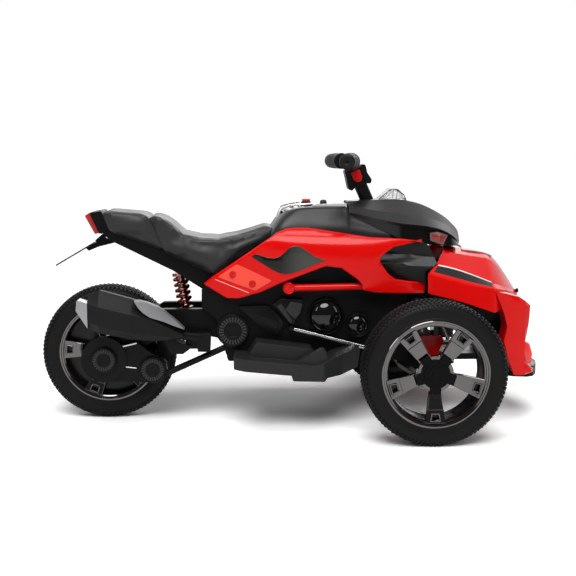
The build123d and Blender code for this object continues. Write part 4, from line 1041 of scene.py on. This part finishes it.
# Tank cover. The satin black hump ahead of the saddle, one moulding whose crown is let in for
# the console.
tank_rows = [
    (-50, [(96, 411), (97, 420), (90, 428), (70, 433), (40, 436), (0, 437)]),
    (-41, [(100, 411), (101, 430), (93, 442), (72, 448), (40, 451), (0, 452)]),
    (-27, [(103, 411), (103, 436), (94, 455), (72, 464), (40, 467), (0, 467)]),
    (-10, [(104, 411), (104, 437), (92, 463), (76, 476), (62, 478), (0, 478)]),
    (14, [(104, 411), (104, 437), (91, 465), (77, 483), (62, 485), (0, 485)]),
    (60, [(104, 411), (104, 437), (91, 465), (77, 484), (62, 485), (0, 485)]),
    (118, [(104, 411), (104, 437), (91, 465), (77, 484), (62, 485), (0, 485)]),
    (126, [(104, 411), (104, 436), (90, 460), (76, 474), (60, 476), (0, 476)]),
    (214, [(104, 411), (104, 428), (88, 444), (70, 450), (50, 452), (0, 452)]),
]
console_from = -24.0
console_to = 119.0
tank = skin(tank_rows, {3: 0.7, 4: 0.8}, {6: 0.8, 7: 0.8})
opening = [
    face for face in tank.faces
    if console_from < face.calc_center_median().x < console_to and abs(face.calc_center_median().y) < 61
]
bmesh.ops.delete(tank, geom=opening, context="FACES")
both_halves(tank)
tank_piece = piece("tank_hump", tank, [cowl_satin], "tank_cover", sharp=180.0)
refine(tank_piece, 2, 4.0)

# Console. A bright plated deck with a raised grey hump ahead, a ring of plated trim around its
# rear edge, a red push button, four small white ones and a dark knob.
plated = moulded(
    "plated", (0.72, 0.72, 0.73), 0.12, metallic=1.0, variation=0.05, grain=2.0, depth=0.006, edge=0.6,
)
console_grey = moulded("console_grey", (0.018, 0.018, 0.019), 0.3, level=0.3, edge=0.8)
button_red = moulded("button_red", (0.62, 0.010, 0.008), 0.22, level=0.35, edge=0.5)
button_white = moulded("button_white", (0.72, 0.72, 0.72), 0.25, level=0.35, edge=0.4)
wear(plated, "console_deck")
trim = bmesh.new()
trim_line = [(-37, 0, 452), (-33, 20, 464), (-24, 44, 480), (-4, 58, 487), (20, 63, 490), (44, 64, 491.5)]
trim_width = 2.2
trim_sides = 8
sections = []
for x, y, z in trim_line:
    ring = []
    for step in range(trim_sides):
        angle = 2 * pi * step / trim_sides
        x_here = x + trim_width * 0.3 * cos(angle)
        ring.append(trim.verts.new((x_here, -y, z - 0.6 + trim_width * sin(angle) * 0.9)))
        ring[-1].co.y -= trim_width * cos(angle) * 0.9
    sections.append([trim.edges.new(pair) for pair in zip(ring, ring[1:] + ring[:1])])
for near, far in zip(sections, sections[1:]):
    bmesh.ops.bridge_loops(trim, edges=near + far)
bmesh.ops.holes_fill(trim, edges=sections[-1], sides=0)
both_halves(trim)
face_out(trim)
piece("console_trim", trim, [plated], sharp=60.0)
# Rows of (x, y, foot z, profile of (height, radius), material)
button_table = [
    (33, 0, 478, [(0, 13), (14, 12), (16, 10), (17, 9)], 1),
    (33, 0, 495, [(0, 9.5), (3.4, 9.5), (4.4, 8.5), (4.6, 4)], 0),
    *[(10, y, 477, [(0, 5), (4, 5), (5.6, 4), (6, 2)], 2) for y in (-22, 22)],
    *[(24, y, 477, [(0, 4.5), (5, 4.5), (6.4, 3.6), (6.8, 2)], 2) for y in (-38, 38)],
    (72, -6, 490, [(0, 8), (2, 8), (5, 7.4), (7, 5.6), (8, 3)], 1),
]
controls = bmesh.new()
for x, y, foot_z, profile, paint_index in button_table:
    control = turned_rod((x, y, foot_z), (x, y, foot_z + 20), profile, 28)
    use_paint(control, paint_index)
    add_shape(controls, control)
piece(
    "console_controls", controls, [button_red, console_grey, button_white],
    "console_buttons",
)

# Grips. Soft ribbed sleeves with a barrel swell, a flange at the inner end and a drain hole
# in the outer one.
grip_rubber = moulded(
    "grip_rubber", (0.008, 0.008, 0.008), 0.45, level=0.2, grain=0.6, depth=0.05, edge=0.6,
)
grip_centre = (107.0, 205.0, 585.0)
grip_inward = Vector((20.0, -95.0, 0.0)).normalized()
grip_radius = 17.4
grip_swell = 1.3
groove_count = 9
groove_pitch = 7.4
groove_depth = 1.1
grip_profile = [(0, 4.0), (-1.5, 4.2), (-3, 6), (-3.2, 12), (-1.5, 15.4), (2, grip_radius)]
for groove in range(groove_count):
    along = 8 + groove * groove_pitch
    swell = grip_radius + grip_swell * sin(pi * (along - 4) / 70)
    foot = swell - groove_depth
    grip_profile += [(along, swell), (along + 4.6, swell), (along + 5.2, foot), (along + 6.6, foot)]
grip_profile += [(79, 16.6), (80, 19.0), (86, 19.0), (87.5, 17.4), (88, 9.2)]
grips = bmesh.new()
for side in (1, -1):
    start = Vector((grip_centre[0], side * grip_centre[1], grip_centre[2]))
    run = Vector((grip_inward.x, side * grip_inward.y, 0))
    sleeve = bmesh.new()
    ring_of(sleeve, [(radius, along) for along, radius in grip_profile] + [(4.0, 6)], 40)
    outwards(sleeve)
    swing(sleeve, run.to_track_quat("Y", "Z").to_matrix())
    shift(sleeve, start)
    add_shape(grips, sleeve)
piece("grip_sleeves", grips, [grip_rubber], "grips", "steering")

# Footboards. Ribbed black platforms on each side, with a raised tread and a wedge pedal, in a
# slightly paler black.
board_black = moulded(
    "board_black", (0.016, 0.016, 0.0163), 0.42, level=0.3, variation=0.15, grain=0.8, edge=1.2,
)
wear(board_black, "footboard_left", "footboard_right")

# Engine-look covers. A wedge, a V-shaped cylinder with a paler panel, two gloss domes in their
# collars and a plated rail along the lower edge, all clipped to the tub.
cover_black = moulded("cover_black", (0.0045, 0.0045, 0.0045), 0.34, level=0.15, grain=0.8, edge=1.0)
panel_dark = moulded("panel_dark", (0.026, 0.026, 0.0265), 0.38, level=0.25, grain=0.9, edge=0.8)
dome_black = moulded(
    "dome_black", (0.003, 0.003, 0.003), 0.05, level=0.55, variation=0.1, grain=4.0, depth=0.004,
    edge=0.0,
)
# Rows of (outline, |y| from, |y| to, edge, material)
cover_table = [
    ([(-123, 265, 2), (-56, 267, 4), (-36, 248, 2), (-22, 230, 3), (-35, 204, 4), (-75, 221, 6)],
     90, 109, 3.0, 0),
    ([(-112, 259, 2), (-60, 260, 4), (-32, 231, 3), (-40, 212, 4), (-76, 226, 6)], 108, 111, 1.2, 0),
    ([(-49, 270, 3), (-29, 284, 3), (21, 280, 3), (13, 250, 3), (-1, 223, 3), (-11, 228, 3),
      (-35, 258, 3)], 90, 113, 1.8, 0),
    ([(-38, 267, 2), (-28, 273, 2), (-4, 236, 2), (-4, 227, 2), (-12, 232, 2)], 112, 116, 1.2, 1),
    ([(-20, 258, 2), (-8, 277, 2), (19, 272, 2), (13, 250, 2), (2, 238, 2)], 112, 118, 1.6, 1),
]
engine = bmesh.new()
for outline, y_from, y_to, edge, paint_index in cover_table:
    plate_shape = side_plate(outline, -y_from, -y_to, edge)
    use_paint(plate_shape, paint_index)
    add_shape(engine, plate_shape)
# Rows of (x, z, collar profile of (distance from the tub, radius))
collar_table = [
    (72, 242, [(0, 41), (11, 41), (13, 40), (14, 38.6), (12.5, 36.8), (9, 36.6), (8, 10)]),
    (143, 222, [(0, 27), (15, 27), (17, 26), (18, 24.8), (16.5, 23.0), (12, 22.8), (11, 8)]),
]
for x, z, profile in collar_table:
    add_shape(engine, turned_rod((x, -92, z), (x, -192, z), profile, 72))
rail_from = Vector((-6, -109, 216))
rail_to = Vector((158, -109, 173))
rail_length = (rail_to - rail_from).length
rail = turned_rod(rail_from, rail_to, [(0, 4.6), (rail_length, 4.6)], 24)
use_paint(rail, 2)
add_shape(engine, rail)
fore_pin = [(0, 4.5), (17, 4.5), (20, 3.8)]
rear_pin = [(0, 6.5), (20, 6.5), (22, 5.5), (22.5, 3)]
add_shape(engine, turned_rod((-6, -92, 216), (-6, -192, 216), rear_pin, 28))
add_shape(engine, turned_rod((152, -92, 174.6), (152, -192, 174.6), fore_pin, 24))
both_flanks(engine)
piece("engine_plates", engine, [cover_black, panel_dark, plated], "engine_covers")
dome_steps = 9
# Rows of (x, z, radius, height of the rim, height of the top)
dome_table = [(72, 242, 36.2, 10, 27), (143, 222, 22.4, 14, 23)]
domes = bmesh.new()
for x, z, radius, rim_height, top in dome_table:
    rows = [(rim_height, radius)]
    for step in range(1, dome_steps):
        angle = pi / 2 * step / dome_steps
        rows.append((rim_height + (top - rim_height) * sin(angle), radius * cos(angle)))
    rows.append((top, 0.5))
    add_shape(domes, turned_rod((x, -92, z), (x, -192, z), rows, 72))
both_flanks(domes)
piece("engine_domes", domes, [dome_black], "engine_discs")

# Swing arm and drive case. A satin black fork with a round housing over the axle, its arm to
# the gear cover and thin plated strips along the arm. The round covers carry radial ribs.
wear(black_satin, "swing_arm")
wear(cover_black, "drive_case")
strip_rows = [
    [(-387, 172, 1), (-386, 176, 1), (-350, 184.5, 1), (-350, 181, 1)],
    [(-384, 128.5, 1), (-384, 131.5, 1), (-351, 127.5, 1), (-351, 124.5, 1)],
]
strips = bmesh.new()
for outline in strip_rows:
    add_shape(strips, side_plate(outline, -88, -93.4, 0.6, 1))
piece("case_strips", strips, [plated])
cap_rib_count = 26
# Rows of (share of the radius, height)
cap_rows = [
    (0.34, 9.6), (0.36, 10.4), (0.50, 10.4), (0.53, 8.0), (0.84, 8.0), (0.87, 10.2), (0.95, 10.0),
    (0.97, 7.4), (1, 6.6), (1, 0),
]
# Rows of (x, z, radius, y of the seat, sides)
cover_places = [(-423, 146, 29, -96, (1,)), (-315, 123, 30, -92, (1,)), (-136, 210, 37, -92, (1, -1))]
cap_grey = moulded("cap_grey", (0.030, 0.030, 0.031), 0.3, level=0.4, grain=0.8, edge=0.3)
round_caps = bmesh.new()
for x, z, radius, seat_y, sides in cover_places:
    cap = bmesh.new()
    profile = [(0.5, 0), (0.5, 9.2)] + [(radius * share, height) for share, height in cap_rows]
    ring_of(cap, [(r, -h) for r, h in profile], 78)
    outwards(cap)
    rib = block(cap, (radius * 0.075, 2.4, radius * 0.30))
    for corner in rib:
        if corner.co.z > 0:
            corner.co.x *= 1.5
    shift(cap, (0, -8.9, radius * 0.685), rib)
    for face in {face for corner in rib for face in corner.link_faces}:
        face.material_index = 1
    around(cap, rib + linked(rib), cap_rib_count)
    face_out(cap)
    for side in sides:
        copy = cap.copy()
        shift(copy, (x, seat_y, z))
        bmesh.ops.scale(copy, vec=(1, side, 1), verts=copy.verts)
        face_out(copy)
        add_shape(round_caps, copy)
    cap.free()
piece("round_caps", round_caps, [cover_black, cap_grey], "round_covers", sharp=25.0)

# Rear spring leg. A round steel wire in five turns, plated bronze-red, wound over its damper.
# It stands on the swing arm at a share of the arm's length from the pivot.
spring_bronze = moulded(
    "spring_bronze", (0.50, 0.20, 0.17), 0.14, metallic=1.0, variation=0.25, grain=1.2, depth=0.01,
    edge=0.0,
)
wire_facets = 10
steps_per_turn = 22
pivot_x = -136.0
foot_share = 0.382


def wound_spring(foot, top, radius, wire, turns, end_gap):
    """Coil between two places. The wire's size is its radius."""
    run = Vector(top) - Vector(foot)
    height = run.length - 2 * end_gap - 2 * wire
    shape = bmesh.new()
    made = bmesh.ops.create_circle(shape, cap_ends=False, segments=wire_facets, radius=wire)["verts"]
    swing(shape, Matrix.Rotation(pi / 2, 3, "X"), made)
    shift(shape, (radius, 0, end_gap + wire), made)
    steps = steps_per_turn * turns
    bmesh.ops.spin(
        shape, geom=shape.verts[:] + shape.edges[:], cent=(0, 0, 0), axis=(0, 0, 1),
        dvec=(0, 0, height / steps), angle=2 * pi * turns, steps=steps, use_merge=False,
        use_duplicate=False,
    )
    bmesh.ops.holes_fill(shape, edges=[e for e in shape.edges if e.is_boundary], sides=0)
    face_out(shape)
    swing(shape, run.to_track_quat("Z", "Y").to_matrix())
    shift(shape, foot)
    return shape


rear_foot = (pivot_x - foot_share * (pivot_x - rear_x), 0, 244.2)
rear_top = (-259, 0, 331)
rear_coil = wound_spring(rear_foot, rear_top, 13.8, 4.8, 5, 7.0)
piece("wound_rear_spring", rear_coil, [spring_bronze], "rear_spring")
wear(spring_bronze, "rear_damper")

# Muffler. A faceted satin black canister with a paler heat shield on its flank, a plated tip
# behind and a moulded connector to the pipe ahead.
muffler_black = moulded(
    "muffler_black", (0.0075, 0.0075, 0.0078), 0.46, level=0.18, variation=0.2, grain=0.5, depth=0.05,
    edge=1.6,
)
shield_silver = moulded(
    "shield_silver", (0.30, 0.30, 0.31), 0.42, metallic=0.7, variation=0.1, grain=0.9, depth=0.08,
    edge=1.2,
)
wear(muffler_black, "muffler")
shield_outline = [
    (-350, 285, 2), (-337, 285, 2), (-322, 281, 4), (-299, 271, 4), (-280, 257, 4), (-258, 238, 3),
    (-240, 220, 3), (-262, 228, 4), (-284, 238, 4), (-316, 249, 3), (-329, 258, 3), (-339, 268, 3),
]
shield_lean = 0.16
lean_from_x = -320
shield = side_plate(shield_outline, -126, -154, 2.4, 3)
for corner in shield.verts:
    corner.co.y += shield_lean * max(corner.co.x - lean_from_x, 0)
face_out(shield)
piece("heat_shield", shield, [shield_silver], "muffler_shield")
tip_plated = moulded(
    "tip_plated", (0.42, 0.42, 0.43), 0.2, metallic=1.0, variation=0.1, grain=1.0, edge=1.0,
)
wear(tip_plated, "muffler_tip")
wear(cover_black, "exhaust_pipe")

# Tail. A satin black beam under the pads, with a cap, a red lens and a bare black plate on a
# short arm.
plate_black = moulded("plate_black", (0.008, 0.008, 0.008), 0.3, level=0.25, edge=0.5)
tail_lens = moulded(
    "tail_lens", (0.42, 0.010, 0.008), 0.1, level=0.5, variation=0.35, grain=3.0, depth=0.25, edge=0.6,
)
wear(black_satin, "tail_frame", "tail_cap", "plate_arm")
wear(tail_lens, "tail_light")
wear(plate_black, "plate")

# Saddle and pillion. Pads of thin leather-look vinyl over foam, drawn tight over their bases.
# Each is blown up a little, and kept within a few millimetres of its solid.
seat_vinyl = moulded(
    "seat_vinyl", (0.024, 0.024, 0.0235), 0.42, level=0.3, variation=0.12, grain=0.9, depth=0.04,
    edge=0.0,
)
pad_shrink = (-3.5, 2.0, -0.5)
pad_voxel = 4.0
pad_cap = 4.0
cloth_frames = 20


def stuffed(node, name):
    """Blow a copy of a packed pad up with cloth pressure, and keep it near its solid."""
    shape = bmesh.new()
    shape.from_mesh(nodes[node].data)
    bmesh.ops.remove_doubles(shape, verts=shape.verts, dist=0.00002)
    low, high = [Vector(corner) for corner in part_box(node)]
    middle = (low + high) / 2
    for corner in shape.verts:
        for axis in range(3):
            half = (high[axis] - low[axis]) / 2
            reach = corner.co[axis] - middle[axis]
            corner.co[axis] = middle[axis] + reach * (half - pad_shrink[axis] * mm) / half
    pad = put(name, mesh_of(name, shape))
    remesh = pad.modifiers.new("remesh", "REMESH")
    remesh.mode = "VOXEL"
    remesh.voxel_size = pad_voxel * mm
    view = bpy.context.evaluated_depsgraph_get()
    even = bpy.data.meshes.new_from_object(pad.evaluated_get(view))
    pad.modifiers.clear()
    pad.data = even
    start = [corner.co.copy() for corner in even.vertices]
    cloth = pad.modifiers.new("cloth", "CLOTH")
    vinyl = cloth.settings
    vinyl.use_pressure = True
    vinyl.uniform_pressure_force = 4.0
    vinyl.effector_weights.gravity = 0.0
    vinyl.quality = 5
    vinyl.tension_stiffness = 25.0
    vinyl.compression_stiffness = 25.0
    vinyl.bending_stiffness = 1.0
    cloth.collision_settings.use_collision = False
    for frame_number in range(1, cloth_frames + 1):
        bpy.context.scene.frame_set(frame_number)
    view = bpy.context.evaluated_depsgraph_get()
    blown = bpy.data.meshes.new_from_object(pad.evaluated_get(view))
    pad.modifiers.clear()
    pad.data = blown
    bpy.context.scene.frame_set(1)
    final = pad.data
    for corner, origin in zip(final.vertices, start):
        step = corner.co - origin
        if step.length > pad_cap * mm:
            step *= pad_cap * mm / step.length
        corner.co = origin + step
    pads = bmesh.new()
    pads.from_mesh(final)
    for turn in range(2):
        bmesh.ops.smooth_vert(
            pads, verts=pads.verts, factor=0.5, use_axis_x=True, use_axis_y=True, use_axis_z=True,
        )
    pads.to_mesh(final)
    pads.free()
    for face in final.polygons:
        face.use_smooth = True
    final.materials.clear()
    final.materials.append(seat_vinyl)
    return pad


for node in ("saddle", "pillion"):
    pad = stuffed(node, f"{node}_pad")
    smooth = pad.modifiers.new("smooth", "SUBSURF")
    smooth.levels = 1
    smooth.render_levels = 1
    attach(pad, "chassis")
    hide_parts(node)
